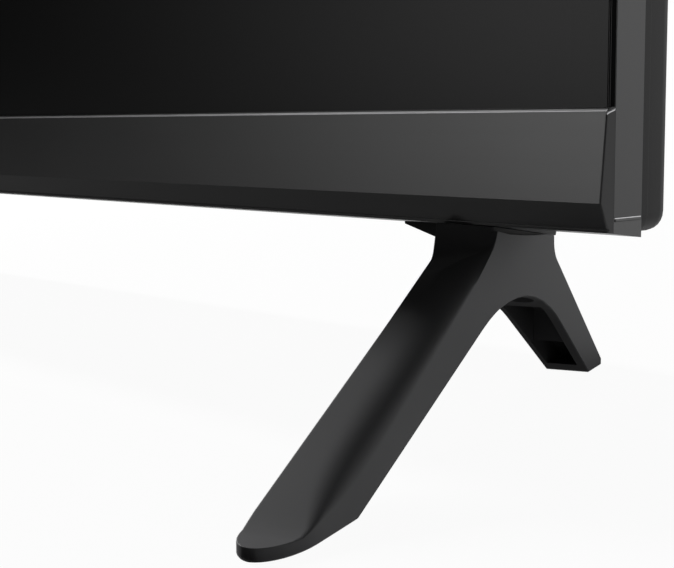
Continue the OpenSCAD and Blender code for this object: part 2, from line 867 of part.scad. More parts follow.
main_plug_up = 3;
main_plug_z = board_low_z + main_plug_up;
main_plug_mid_z = main_plug_z + connector_size[2] / 2;
cable_plug_d = board_back_d + connector_size[1] / 2;
cable_turn_drop = 4;
cable_turn_z = board_low_z - cable_turn_drop;
cable_line_d = source_d + source_t + source_plug_d / 2;
// Depth of the chassis's sloping lower side at a height, kept clear by the cables
function slope_d(z) =
  let (low = mouth_rect[0][1] - tray_gap, high = chassis_floor_rect[0][1])
  chassis_d + (z - low) / (high - low) * (chassis_back_d - chassis_d);
cable_low_z = mouth_rect[0][1] - tray_gap;
function cable_path(d_start, z_start) = [
  [d_start, z_start],
  [d_start, z_start + cable_off],
  [cable_line_d, z_start + 2 * cable_off],
  [cable_line_d, cable_low_z - cable_off],
  [slope_d(cable_turn_z) + cable_off, cable_turn_z],
  [cable_plug_d, cable_turn_z],
  [cable_plug_d, main_plug_z]
];

module signal_cable() {
  color("#d9d9d4")
    beam(strip(cable_path(cable_line_d, source_plug_z + source_plug_h), cable_t),
         cable_at - cable_w / 2, cable_at + cable_w / 2);
}

// Main board and its sockets, on the left as seen from the front

module board(side) {
  x0 = side < 0 ? -board_outer_x : board_inner_x;
  difference() {
    block(x0, x0 + board_w, board_d, board_back_d, board_low_z, board_high_z);
    for (p = board_hole_at)
      rod(side * p[0], p[1], board_d - over, board_back_d + over, screw_r + hole_gap);
  }
}

module main_board() {
  color("#1d6b3c") board(-1);
}

chip_in = 50;
chip_up = 84;
chip_x = -board_inner_x - chip_in;
chip_z = board_low_z + chip_up;
// Places of the memory chips beside the main chip
memory_at = [[0, -26], [0, 26], [28, -8]];

module on_board(x, z, size) {
  block(x - size[0] / 2, x + size[0] / 2, board_back_d, board_back_d + size[1],
        z - size[2] / 2, z + size[2] / 2);
}

module main_chips() {
  color("#222224") {
    on_board(chip_x, chip_z, chip_size);
    for (p = memory_at) on_board(chip_x + p[0], chip_z + p[1], memory_size);
    on_board(cable_at, main_plug_mid_z, plug_size(cable_w));
    on_board(control_lead_at, main_plug_mid_z, plug_size(control_lead_w));
    on_board(-speaker_x - speaker_plug_out, main_plug_mid_z, speaker_plug_size);
    for (z = [power_lead_z, speaker_link_z])
      on_board(-board_inner_x - connector_size[0] / 2, z, connector_size);
  }
}

module heat_sink() {
  base_d = board_back_d + chip_size[1];
  width = (sink_fins - 1) * (sink_fin_t + sink_fin_gap) + sink_fin_t;
  color("#9aa0a5") {
    block(chip_x - width / 2, chip_x + width / 2, base_d, base_d + sink_base,
          chip_z - width / 2, chip_z + width / 2);
    for (i = [0 : sink_fins - 1])
      translate([i * (sink_fin_t + sink_fin_gap), 0, 0])
        block(chip_x - width / 2, chip_x - width / 2 + sink_fin_t, base_d + sink_base,
              base_d + sink_base + sink_fin_h, chip_z - width / 2, chip_z + width / 2);
  }
}

// Open metal or plastic socket that faces outwards on the side given
module socket(side, size, hollow, z) {
  mirror([side < 0 ? 1 : 0, 0, 0])
    difference() {
      block(mouth_x - size[0], mouth_x, board_back_d, board_back_d + size[1],
            z - size[2] / 2, z + size[2] / 2);
      block(mouth_x - hollow[0], mouth_x + over,
            board_back_d + (size[1] - hollow[1]) / 2, board_back_d + (size[1] + hollow[1]) / 2,
            z - hollow[2] / 2, z + hollow[2] / 2);
    }
}

function shell_hollow(size) = [size[0] - 2 * shell_t, size[1] - 2 * shell_t, size[2] - 2 * shell_t];

module video_sockets() {
  color("#c6c9cc") for (z = video_at) socket(-1, video_size, shell_hollow(video_size), z);
}

module data_socket() {
  color("#c6c9cc") socket(-1, data_size, shell_hollow(data_size), data_at);
}

module network_socket() {
  color("#2a2a2c") socket(-1, network_size, network_hollow, network_at);
}

antenna_d = board_back_d + antenna_off;

module antenna_socket() {
  color("#d0b872") difference() {
    cross_rod(-mouth_x, -mouth_x + antenna_len, antenna_d, antenna_at, antenna_r);
    cross_rod(-mouth_x - over, -mouth_x + antenna_bore, antenna_d, antenna_at, antenna_bore_r);
  }
}

module tuner_can() {
  color("#b4b8bb")
    block(-mouth_x + antenna_len, -mouth_x + antenna_len + tuner_size[0], board_back_d,
          board_back_d + tuner_size[1], antenna_at - tuner_size[2] / 2, antenna_at + tuner_size[2] / 2);
}

wireless_size = [24, 1.2, 42];
wireless_can = [16, 2, 18];
wireless_up = 30;
wireless_z = board_low_z + wireless_up;

module wireless_module() {
  color("#1f5f37") {
    block(-wireless_size[0] / 2, wireless_size[0] / 2, chassis_back_d, chassis_back_d + wireless_size[1],
          wireless_z - wireless_size[2] / 2, wireless_z + wireless_size[2] / 2);
    block(-wireless_can[0] / 2, wireless_can[0] / 2, chassis_back_d + wireless_size[1],
          chassis_back_d + wireless_size[1] + wireless_can[1],
          wireless_z - wireless_can[2] / 2, wireless_z + wireless_can[2] / 2);
  }
}

// Power board, on the right as seen from the front

power_lead_up = 24;
power_lead_z = board_low_z + power_lead_up;
power_leads_n = 3;

module power_board() {
  color("#b98a4a") {
    board(1);
    on_board(board_inner_x + connector_size[0] / 2, power_lead_z, connector_size);
  }
}

transformer_core = [34, 26, 30];
transformer_coil = [24, 22, 46];
transformer_in = 38;
transformer_up = 104;
transformer_x = board_inner_x + transformer_in;
transformer_z = board_low_z + transformer_up;

module transformer() {
  color("#c9a23a") {
    on_board(transformer_x, transformer_z, transformer_core);
    on_board(transformer_x, transformer_z, transformer_coil);
  }
}

capacitor_r = 8;
capacitor_h = 26;
capacitor_in = 88;
capacitor_up = [34, 120, 139];
capacitor_x = board_inner_x + capacitor_in;

module power_capacitors() {
  color("#23262b") for (up = capacitor_up)
    rod(capacitor_x, board_low_z + up, board_back_d, board_back_d + capacitor_h, capacitor_r);
}

power_sink_size = [3, 24, 40];
power_sink_in = [64, 74];
power_sink_up = 70;

module power_heat_sinks() {
  color("#a7abae") for (x = power_sink_in)
    on_board(board_inner_x + x, board_low_z + power_sink_up, power_sink_size);
}

inlet_d = board_back_d + inlet_size[1] / 2;

module mains_inlet() {
  ends = (inlet_hollow[0] - inlet_hollow[1]) / 2;
  color("#1c1c1e") difference() {
    block(mouth_x - inlet_size[0], mouth_x, board_back_d, board_back_d + inlet_size[1],
          inlet_at - inlet_size[2] / 2, inlet_at + inlet_size[2] / 2);
    for (s = sides)
      cross_rod(mouth_x - inlet_hollow_depth, mouth_x + over, inlet_d, inlet_at + s * ends,
                inlet_hollow[1] / 2);
    block(mouth_x - inlet_hollow_depth, mouth_x + over,
          inlet_d - inlet_hollow[1] / 2, inlet_d + inlet_hollow[1] / 2, inlet_at - ends, inlet_at + ends);
  }
}

module mains_pins() {
  color("#d5d7d9") for (s = sides)
    cross_rod(mouth_x - inlet_hollow_depth, mouth_x - inlet_hollow_depth + pin_len, inlet_d,
              inlet_at + s * pin_pitch / 2, pin_r);
}

module power_leads() {
  color("#b8332c") for (i = [0 : power_leads_n - 1])
    cross_rod(-board_inner_x, board_inner_x, board_back_d + connector_size[1] / 2,
              power_lead_z + (i - (power_leads_n - 1) / 2) * lead_pitch, lead_r);
}

// Speakers

speaker_high_z = speaker_low_z + speaker_h;

module speaker_box(side) {
  x = side * speaker_x;
  color("#2b2b2d") difference() {
    block(x - speaker_w / 2, x + speaker_w / 2, speaker_front_d, speaker_front_d + speaker_d,
          speaker_low_z, speaker_high_z);
    block(x - speaker_w / 2 + speaker_wall, x + speaker_w / 2 - speaker_wall,
          speaker_front_d + speaker_wall, speaker_front_d + speaker_d - speaker_wall,
          speaker_low_z + speaker_wall, speaker_high_z - speaker_wall);
    upright(x, speaker_mid_d, speaker_low_z - over, speaker_low_z + speaker_wall + over, basket_r + fit_gap);
  }
}

module speaker_driver(side) {
  x = side * speaker_x;
  inner_r = basket_r - basket_wall;
  color("#55585b") {
    difference() {
      union() {
        upright(x, speaker_mid_d, speaker_low_z - speaker_flange_t, speaker_low_z,
                basket_r + speaker_flange_w);
        upright(x, speaker_mid_d, speaker_low_z, speaker_low_z + basket_h, basket_r);
      }
      upright(x, speaker_mid_d, speaker_low_z - speaker_flange_t - over,
              speaker_low_z + basket_h - basket_wall, inner_r);
    }
    upright(x, speaker_mid_d, speaker_low_z + basket_h, speaker_low_z + basket_h + magnet_h, magnet_r);
  }
}

module speaker_cone(side) {
  rim_r = basket_r - basket_wall - cone_gap;
  color("#141415")
    translate([side * speaker_x, front_y + speaker_mid_d, speaker_low_z])
      rotate_extrude()
        polygon([[0, cone_h - cone_t], [coil_r, cone_h - cone_t], [rim_r - cone_land, 0], [rim_r, 0],
                 [rim_r, cone_t], [rim_r - cone_land + cone_t / 2, cone_t],
                 [coil_r + cone_t / 2, cone_h], [coil_r, cone_h + coil_h],
                 [coil_r - cone_t, cone_h + coil_h], [coil_r - cone_t, cone_h], [0, cone_h]]);
}

module left_speaker_box() { speaker_box(-1); }
module left_speaker_driver() { speaker_driver(-1); }
module left_speaker_cone() { speaker_cone(-1); }
module right_speaker_box() { speaker_box(1); }
module right_speaker_driver() { speaker_driver(1); }
module right_speaker_cone() { speaker_cone(1); }

speaker_plug_out = 19;
speaker_plug_size = [10, 5, 7];
speaker_link_up = 14;
speaker_link_z = board_low_z + speaker_link_up;
speaker_lead_d = board_back_d + connector_size[1] / 2;
// Place where the right speaker's leads turn down, inside the power board's edge
lead_turn_in = 7.8;
lead_turn_x = board_inner_x - lead_turn_in;
// Height of the right speaker's leads below the top of its box
lead_drop = 4.4;

// Lead along a path seen from the front
module lead(path) {
  slab(strip(path, 2 * lead_r), speaker_lead_d - lead_r, speaker_lead_d + lead_r);
}

module speaker_leads() {
  color("#8c2f2a") for (s = sides) {
    shift = s * lead_pitch / 2;
    plug_x = -speaker_x - speaker_plug_out + shift;
    box_z = speaker_high_z - lead_drop + shift;
    lead([[plug_x, speaker_high_z], [plug_x, main_plug_z]]);
    lead([[-board_inner_x, speaker_link_z + shift], [lead_turn_x + shift, speaker_link_z + shift],
          [lead_turn_x + shift, box_z], [speaker_x - speaker_w / 2, box_z]]);
  }
}

// Controls behind the chin

control_z = chin_floor_z + control_up;

module control_board() {
  color("#1d6b3c")
    block(control_span[0], control_span[1], control_front_d, control_back_d,
          control_z, control_z + control_t);
}

module control_leads() {
  color("#d9d9d4")
    beam(strip(cable_path(control_back_d - control_lead_in, control_z + control_t), cable_t),
         control_lead_at - control_lead_w / 2, control_lead_at + control_lead_w / 2);
}

lens_top_z = chin_floor_z + lens_flange_t;

module infrared_receiver() {
  color("#2a2530")
    block(-receiver_size[0] / 2, receiver_size[0] / 2, control_mid_d - receiver_size[1] / 2,
          control_mid_d + receiver_size[1] / 2, lens_top_z + fit_gap, control_z);
}

module infrared_lens() {
  color("#3b1214") {
    block(-lens_w / 2, lens_w / 2, control_mid_d - lens_d / 2, control_mid_d + lens_d / 2,
          base_z - lens_drop, chin_floor_z);
    block(-lens_w / 2 - lens_flange, lens_w / 2 + lens_flange, control_mid_d - lens_d / 2 - lens_flange,
          control_mid_d + lens_d / 2 + lens_flange, chin_floor_z, lens_top_z);
  }
}

key_rest_z = chin_floor_z + key_gap;
key_top_z = key_rest_z + key_flange_t;
switch_low_z = key_top_z + key_travel + switch_gap;

module key_switch() {
  color("#2a2a2c") difference() {
    block(-key_left - switch_w / 2, -key_left + switch_w / 2, control_mid_d - switch_w / 2,
          control_mid_d + switch_w / 2, switch_low_z, control_z);
    upright(-key_left, control_mid_d, switch_low_z - over,
            key_top_z + plunger_len + key_travel + key_gap, plunger_r + key_gap);
  }
}

module key_plunger() {
  color("#b04030") upright(-key_left, control_mid_d, key_top_z, key_top_z + plunger_len, plunger_r);
}

module power_key() {
  color("#262628") {
    block(-key_left - key_w / 2, -key_left + key_w / 2,
          control_mid_d - key_d / 2, control_mid_d + key_d / 2,
          under_z(control_mid_d) - key_proud, key_top_z);
    block(-key_left - key_w / 2 - key_flange, -key_left + key_w / 2 + key_flange,
          control_mid_d - key_d / 2 - key_flange, control_mid_d + key_d / 2 + key_flange,
          key_rest_z, key_top_z);
  }
}

// Rear cover

module cover_shape(by) {
  slab(rounded_rect(grow(band_rect, -by), corner_r - by), by > 0 ? cover_d - over : cover_d,
       cover_d + band_depth - by);
  slab(rounded_rect(grow(cover_rect, -by), corner_r - by), cover_d, side_end_d - by / 2);
  loft(rounded_rect(grow(cover_rect, -by), corner_r - by), side_end_d - by / 2,
       rounded_rect(grow(back_rect, -by), corner_r - by), back_d - by);
  loft(rounded_rect(grow(housing_rect, -by), corner_r - by), back_d - housing_lap - by,
       rounded_rect(grow(housing_back_rect, -by), corner_r - by), housing_back_d - by);
}

// Bays in the housing's sides, through which plugs reach the sockets
module bays(by) {
  block(-socket_wall_x - bay_reach, -socket_wall_x + by, bay_floor_d - by, housing_back_d + over,
        socket_bay[0] - by, socket_bay[1] + by);
  block(socket_wall_x - by, socket_wall_x + bay_reach, bay_floor_d - by, housing_back_d + over,
        mains_bay[0] - by, mains_bay[1] + by);
}

// Pads on the underside that take the necks of the feet, with a ramp beside each neck on its inner side
module foot_boss(side) {
  inner = foot_half - neck_w;
  outer = foot_half + boss_side;
  low = rect_between(inner - boss_margin[0], outer, neck_front, neck_back + boss_back);
  high = rect_between(inner - boss_margin[1], outer + boss_side, neck_front, neck_back + boss_back);
  difference() {
    intersection() {
      at_foot(side) rotate([90, 0, 0]) translate([0, -front_y, 0])
        loft(low, base_z - boss_drop, high, boss_top_z);
      block(-half_w, half_w, cover_d, back_d, 0, top_z);
    }
    intersection() {
      under_space(0, false);
      at_foot(side) translate([inner - fit_gap, -half_w, 0]) cube([half_w, 2 * half_w, top_z]);
    }
  }
}

// Outline of a boss in its foot's frame, drawn with the toe upwards
function rect_between(x0, x1, ahead, behind) = [[x0, -behind], [x1, -behind], [x1, ahead], [x0, ahead]];

module vent_row(count, d0, d1, z0, z1) {
  for (i = [0 : count - 1]) {
    x = (i - (count - 1) / 2) * vent_pitch;
    block(x - vent_w / 2, x + vent_w / 2, d0, d1, z0, z1);
  }
}

// Land between the sound slots, and their distance from the basket's rim
sound_land = 1.2;
sound_margin = 2;

module sound_row(side) {
  for (i = [0 : sound_slots - 1]) {
    x = side * speaker_x + (i - (sound_slots - 1) / 2) * (vent_w + sound_land);
    block(x - vent_w / 2, x + vent_w / 2,
          speaker_mid_d - basket_r + sound_margin, speaker_mid_d + basket_r - sound_margin,
          base_z - over, speaker_low_z - speaker_flange_t);
  }
}

module socket_cut(side, d0, d1, z, width) {
  mirror([side < 0 ? 1 : 0, 0, 0])
    block(socket_wall_x - cover_wall - over, socket_wall_x + over, d0 - socket_gap, d1 + socket_gap,
          z - width / 2 - socket_gap, z + width / 2 + socket_gap);
}

module socket_cuts() {
  for (z = video_at) socket_cut(-1, board_back_d, board_back_d + video_size[1], z, video_size[2]);
  socket_cut(-1, board_back_d, board_back_d + data_size[1], data_at, data_size[2]);
  socket_cut(-1, board_back_d, board_back_d + network_size[1], network_at, network_size[2]);
  socket_cut(1, board_back_d, board_back_d + inlet_size[1], inlet_at, inlet_size[2]);
  cross_rod(-socket_wall_x - over, -socket_wall_x + cover_wall + over, antenna_d, antenna_at,
            antenna_r + socket_gap);
}

wall_mount_z = housing_back_rect[2][1] - wall_mount_drop - wall_mount_pitch / 2;
wall_mount_at = [for (sx = sides, sz = sides)
  [sx * wall_mount_pitch / 2, wall_mount_z + sz * wall_mount_pitch / 2]];
vent_low_margin = 2;
vent_high_margin = 4;
vent_low_z = housing_back_rect[2][1] + vent_low_margin;
vent_high_z = housing_rect[2][1] - cover_wall - vent_high_margin;
floor_vent_back = 6.6;

module rear_cover() {
  color("#1e1e20") difference() {
    union() {
      difference() {
        cover_shape(0);
        bays(0);
        difference() {
          cover_shape(cover_wall);
          bays(cover_wall);
          for (s = sides, x = sides)
            block(s * speaker_x + x * (speaker_w / 2 - rib_in) - rib_t / 2,
                  s * speaker_x + x * (speaker_w / 2 - rib_in) + rib_t / 2,
                  speaker_front_d + rib_in, speaker_front_d + speaker_d - rib_in, base_z, speaker_low_z);
          for (p = cover_screw_at)
            rod(p[0], p[1], back_d - well_depth - well_seat, back_d, well_r + well_wall);
        }
      }
      for (s = sides) foot_boss(s);
    }
    for (p = cover_screw_at) {
      rod(p[0], p[1], back_d - well_depth, back_d + over, well_r);
      rod(p[0], p[1], back_d - well_depth - well_seat - over, back_d, screw_r + hole_gap);
    }
    for (p = wall_mount_at)
      rod(p[0], p[1], housing_back_d - cover_wall - over, housing_back_d + over, wall_post_r + socket_gap);
    for (s = sides, p = foot_screw_at)
      at_foot(s) translate([p[0], p[1], 0]) cylinder(r = foot_screw_r + hole_gap, h = boss_top_z + over);
    socket_cuts();
    vent_row(top_vents, back_d + cover_wall, housing_back_d - cover_wall, vent_low_z, vent_high_z);
    vent_row(floor_vents, speaker_front_d + rib_in, housing_back_d - floor_vent_back,
             base_z - over, speaker_low_z - speaker_lift / 2);
    for (s = sides) sound_row(s);
  }
}

module wall_mount_posts() {
  end_d = housing_back_d - wall_post_recess;
  color("#c3c6c9") for (p = wall_mount_at)
    difference() {
      rod(p[0], p[1], chassis_back_d, end_d, wall_post_r);
      rod(p[0], p[1], end_d - wall_hole_depth, end_d + over, wall_hole_r);
    }
}

// Feet and what holds them

module foot_brackets() {
  plate_z = boss_top_z + bracket_t;
  color("#aeb2b5") for (s = sides)
    difference() {
      union() {
        mirror([s < 0 ? 1 : 0, 0, 0]) {
          block(bracket_x, neck_x + bracket_reach_x, cover_d + fit_gap, chassis_back_d + bracket_t,
                boss_top_z, plate_z);
          block(bracket_x, floor_half - bracket_edge, chassis_back_d, chassis_back_d + bracket_t,
                plate_z, floor_low_z + bracket_up);
        }
        for (p = foot_screw_at)
          at_foot(s) translate([p[0], p[1], plate_z]) cylinder(r = bracket_nut_r, h = bracket_nut_h);
      }
      for (p = foot_screw_at)
        at_foot(s) translate([p[0], p[1], boss_top_z - over])
          cylinder(r = foot_screw_r + fit_gap / 2, h = bracket_t + bracket_nut_h + 2 * over);
      for (p = bracket_screw_at)
        rod(p[0], p[1], chassis_back_d - over, chassis_back_d + bracket_t + over, screw_r + hole_gap);
    }
}

module screw(x, z, d_seat, d_tip, head_r, head_h, r) {
  rod(x, z, d_tip, d_seat, r);
  rod(x, z, d_seat, d_seat + head_h, head_r);
}

module bracket_screws() {
  color("#8d9194") for (p = bracket_screw_at)
    screw(p[0], p[1], chassis_back_d + bracket_t, bracket_screw_tip_d,
          board_screw_head_r, board_screw_head_h, screw_r);
}

module board_screws() {
  color("#8d9194") for (s = sides, p = board_hole_at)
    screw(s * p[0], p[1], board_back_d, chassis_back_d + board_screw_bite,
          board_screw_head_r, board_screw_head_h, screw_r);
}

module cover_screws() {
  color("#3a3a3c") for (p = cover_screw_at)
    screw(p[0], p[1], back_d - well_depth, back_d - well_depth - cover_screw_len,
          cover_screw_head_r, cover_screw_head_h, screw_r);
}

// Foot's outline seen from above, drawn in by an inset
function toe_curve(inset) =
  [for (angle = [-90 : toe_step : 90])
    [-(foot_half - inset) * sin(angle), -toe_middle - (toe_round - inset) * cos(angle)]];
function foot_plan(inset) = concat(
  toe_curve(inset),
  [[-foot_half + inset, -leg_taper_end],
   [foot_half - neck_w + inset, -neck_front],
   [foot_half - neck_w + inset, neck_back],
   [foot_half - rear_w + inset, rear_reach - inset],
   [foot_half - inset, rear_reach - inset]]);

toe_flat_u = toe_reach - toe_flat;
rear_neck_z = back_face_z(-neck_back);
front_neck_z = front_face_z(neck_front + neck_out);
// Foot's outline seen from outside, with the toe on the negative side
foot_side = rounded([
  [-toe_reach - over, pad_proud, 0],
  [-toe_reach - over, toe_h, 0],
  [-toe_flat_u, front_face_z(toe_flat_u), toe_blend_r],
  [-neck_front - neck_out, front_neck_z, neck_fillet],
  [-neck_front + neck_in, boss_top_z, 0],
  [neck_back - neck_lean, boss_top_z, 0],
  [neck_back, rear_neck_z, rear_fillet],
  [rear_reach, pad_proud, rear_end_r]
]);
arch_side = rounded([
  [-heel_reach - over, pad_proud - over * tan(arch_front_angle), 0],
  [-arch_peak_u, arch_peak_z, arch_r],
  [rear_inner_reach + over, pad_proud - over * tan(arch_rear_angle), 0]
]);
front_drop = foot_wall / cos(front_angle);
rear_drop = foot_wall / cos(back_angle);
hollow_front = 14;
hollow_back = 17;
front_hollow = [
  [-hollow_front, sole_t],
  [-hollow_front, front_face_z(hollow_front + neck_fillet) - front_drop],
  [-hollow_front - neck_fillet, front_face_z(hollow_front + neck_fillet) - front_drop],
  [-(brow_z - front_drop - sole_t) / tan(front_angle), sole_t]
];
rear_hollow = [
  [hollow_back, sole_t],
  [rear_reach - (sole_t + rear_drop - pad_proud) / tan(back_angle), sole_t],
  [hollow_back + rear_fillet, back_face_z(-hollow_back - rear_fillet) - rear_drop],
  [hollow_back, back_face_z(-hollow_back - rear_fillet) - rear_drop]
];

module foot_beam(profile) {
  translate([0, -front_y, 0]) beam(profile, -neck_w, neck_w);
}

module foot_body() {
  difference() {
    intersection() {
      foot_beam(foot_side);
      linear_extrude(boss_top_z + over) polygon(foot_plan(0));
    }
    foot_beam(arch_side);
    for (hollow = [front_hollow, rear_hollow])
      intersection() {
        foot_beam(hollow);
        linear_extrude(boss_top_z) polygon(foot_plan(foot_wall));
      }
    for (p = foot_screw_at) translate([p[0], p[1], 0]) {
      cylinder(r = foot_screw_r + hole_gap, h = boss_top_z + over);
      cylinder(r = foot_screw_head_r + foot_screw_room, h = foot_screw_seat_z);
    }
    for (side = [0, 1]) pad(side, fit_gap, pad_proud - over);
  }
}

// Rubber pad under the toe or under the rear leg, in the foot's frame
module pad(rear, by, low) {
  toe_pad_r = foot_half - toe_pad_margin;
  rear_pad = rear_w - 2 * rear_pad_margin;
  high = pad_proud + pad_recess + by;
  if (rear == 0)
    translate([0, -toe_middle, low]) cylinder(r = toe_pad_r + by, h = high - low);
  else
    translate([foot_half - (rear_w + rear_pad) / 2 - by,
               (rear_reach + rear_inner_reach - rear_pad) / 2 - by, low])
      cube([rear_pad + 2 * by, rear_pad + 2 * by, high - low]);
}

module foot(side) {
  color("#29292b") difference() {
    at_foot(side) foot_body();
    under_space(seam, true);
  }
}

module left_foot() { foot(-1); }
module right_foot() { foot(1); }

module foot_pads() {
  color("#151515") for (s = sides, rear = [0, 1])
    at_foot(s) pad(rear, 0, 0);
}

module foot_screws() {
  tip_z = boss_top_z + bracket_t + bracket_nut_h;
  color("#3a3a3c") for (s = sides, p = foot_screw_at)
    at_foot(s) translate([p[0], p[1], 0]) {
      translate([0, 0, foot_screw_seat_z]) cylinder(r = foot_screw_r, h = tip_z - foot_screw_seat_z);
      translate([0, 0, foot_screw_seat_z - foot_screw_head_h])
        cylinder(r = foot_screw_head_r, h = foot_screw_head_h);
    }
}

bezel_frame();
chin();
screen_glass();
panel_rear_glass();
panel_gasket();
inner_frame();
prism_film();
diffuser_film();
diffuser_plate();
reflector();
lamp_lenses();
lamp_chips();
light_bars();
backlight_chassis();
source_board();
drive_films();
signal_cable();
main_board();
main_chips();
heat_sink();
tuner_can();
video_sockets();
data_socket();
network_socket();
antenna_socket();
wireless_module();
power_board();
transformer();
power_capacitors();
power_heat_sinks();
mains_inlet();
mains_pins();
power_leads();
left_speaker_box();
left_speaker_driver();
left_speaker_cone();
right_speaker_box();
right_speaker_driver();
right_speaker_cone();
speaker_leads();
control_board();
control_leads();
infrared_receiver();
infrared_lens();
key_switch();
key_plunger();
power_key();
rear_cover();
wall_mount_posts();
foot_brackets();
bracket_screws();
board_screws();
cover_screws();
left_foot();
right_foot();
foot_pads();
foot_screws();
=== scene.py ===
"""Looks of a flat screen television on splayed feet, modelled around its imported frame.

Metres, in the frame's own axes: +Z up, the screen faces -Y, the origin on the table.
"""
import math

import bmesh
import bpy
from mathutils import Matrix, Vector


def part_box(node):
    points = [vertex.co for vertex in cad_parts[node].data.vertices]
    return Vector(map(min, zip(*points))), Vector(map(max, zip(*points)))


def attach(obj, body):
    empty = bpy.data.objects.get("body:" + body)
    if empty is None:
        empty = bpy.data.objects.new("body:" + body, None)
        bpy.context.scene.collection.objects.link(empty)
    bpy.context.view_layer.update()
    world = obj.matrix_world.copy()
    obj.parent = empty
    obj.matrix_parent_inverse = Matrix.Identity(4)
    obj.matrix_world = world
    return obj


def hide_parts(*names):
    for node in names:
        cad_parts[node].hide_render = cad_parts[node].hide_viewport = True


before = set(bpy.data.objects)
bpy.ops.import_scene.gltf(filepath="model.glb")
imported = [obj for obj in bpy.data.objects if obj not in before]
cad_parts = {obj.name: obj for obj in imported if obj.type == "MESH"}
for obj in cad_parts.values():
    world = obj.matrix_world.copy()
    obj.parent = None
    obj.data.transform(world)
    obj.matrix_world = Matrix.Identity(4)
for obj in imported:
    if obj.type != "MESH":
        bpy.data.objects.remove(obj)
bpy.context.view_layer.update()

MM = 0.001
CABINET = "cabinet"
SIDES = (-1, 1)

# Depths are measured in millimetres behind the front edge of the frame
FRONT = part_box("bezel_frame")[0].y / MM
HALF_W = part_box("bezel_frame")[1].x / MM
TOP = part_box("bezel_frame")[1].z / MM
SEAM_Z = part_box("bezel_frame")[0].z / MM
FRAME_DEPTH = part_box("bezel_frame")[1].y / MM - FRONT
BASE = 43.0
UNDER_SLOPE = math.tan(math.radians(7.5))
UNDER_NORMAL = Vector((0, UNDER_SLOPE, 1)).normalized()
LIP_OUT = 0.8
# Corners closer than this are one
WELD = 0.002 * MM
# Steps of the arcs at rounded corners, more of them from a broad radius on
ARC_STEPS, BROAD_ARC_STEPS, BROAD_RADIUS = 6, 14, 20
# Dished lower faces: the rim that stays, and how far the middle is set back
DISH_RIM, DISH_DEPTH = 0.7 * MM, 0.25 * MM


def place(x, d, z):
    """A point from its sideways place, its depth behind the frame's front edge and its height."""
    return Vector((x, FRONT + d, z)) * MM


def under_z(d):
    """Height of the sloping underside at a depth."""
    return BASE - (d + LIP_OUT) * UNDER_SLOPE


# Modelling tools

def rest():
    if bpy.context.mode != "OBJECT":
        bpy.ops.object.mode_set(mode="OBJECT")
    bpy.ops.object.select_all(action="DESELECT")


def take(*pieces):
    rest()
    for piece in pieces:
        piece.select_set(True)
    bpy.context.view_layer.objects.active = pieces[0]


def edit(piece):
    take(piece)
    bpy.ops.object.mode_set(mode="EDIT")
    bpy.ops.mesh.select_all(action="SELECT")


def named(name):
    piece = bpy.context.active_object
    piece.name = piece.data.name = name
    return piece


def settle(piece):
    """Puts the piece's place into its mesh, with all faces outwards."""
    edit(piece)
    bpy.ops.mesh.remove_doubles(threshold=WELD)
    take(piece)
    bpy.ops.object.transform_apply(location=True, rotation=True, scale=True)
    # After the place is in, because a mirrored piece turns inside out with it
    edit(piece)
    bpy.ops.mesh.normals_make_consistent(inside=False)
    take(piece)
    return piece


def move(piece, matrix):
    piece.matrix_world = matrix @ piece.matrix_world
    bpy.context.view_layer.update()
    return settle(piece)


def twin(piece, name, matrix):
    take(piece)
    bpy.ops.object.duplicate(linked=False)
    copy = named(name)
    return move(copy, matrix)


def pick(piece, kind, test):
    """Selects the corners, edges or faces that pass a test."""
    bpy.ops.mesh.select_mode(type={"verts": "VERT", "edges": "EDGE", "faces": "FACE"}[kind])
    bpy.ops.mesh.select_all(action="DESELECT")
    mesh = bmesh.from_edit_mesh(piece.data)
    for part in [part for part in getattr(mesh, kind) if test(part)]:
        part.select_set(True)
    mesh.select_flush_mode()
    bmesh.update_edit_mesh(piece.data)


def middle(edge):
    return (edge.verts[0].co + edge.verts[1].co) / 2


def pull(vector):
    bpy.ops.mesh.extrude_region_move(TRANSFORM_OT_translate={"value": vector})


def outline(name, points):
    """Draws a flat face corner by corner with the extrude tool."""
    rest()
    bpy.ops.mesh.primitive_plane_add(size=MM, location=points[0])
    piece = named(name)
    bpy.ops.object.mode_set(mode="EDIT")
    bpy.ops.mesh.select_mode(type="VERT")
    bpy.ops.mesh.select_all(action="SELECT")
    bpy.ops.mesh.merge(type="CENTER")
    for here, there in zip(points, points[1:] + points[:1]):
        pull(there - here)
    bpy.ops.mesh.select_all(action="SELECT")
    bpy.ops.mesh.remove_doubles(threshold=WELD)
    bpy.ops.mesh.select_all(action="SELECT")
    bpy.ops.mesh.edge_face_add()
    return piece


def prism(name, points, sweep):
    piece = outline(name, points)
    bpy.ops.mesh.select_all(action="SELECT")
    pull(sweep)
    return settle(piece)


def loft(name, rings):
    """Draws the first ring, then extrudes its face from ring to ring."""
    piece = outline(name, rings[0])
    origin = piece.location.copy()
    bpy.ops.mesh.select_all(action="SELECT")
    for last, ring in zip(rings, rings[1:]):
        bpy.ops.mesh.extrude_region_move()
        mesh = bmesh.from_edit_mesh(piece.data)
        for corner in [v for v in mesh.verts if v.select]:
            spot = corner.co + origin
            near = min(range(len(last)), key=lambda i: (last[i] - spot).length_squared)
            corner.co = ring[near] - origin
        bmesh.update_edit_mesh(piece.data)
    return settle(piece)


def row(piece, count, step):
    """Repeats a piece along X."""
    take(piece)
    repeat = piece.modifiers.new("row", "ARRAY")
    repeat.count = count
    repeat.use_relative_offset = False
    repeat.use_constant_offset = True
    repeat.constant_offset_displace = (step * MM, 0, 0)
    bpy.ops.object.modifier_apply(modifier=repeat.name)
    return piece


def slab(name, low, high):
    rest()
    bpy.ops.mesh.primitive_cube_add(size=1, location=(low + high) / 2, scale=high - low)
    return settle(named(name))


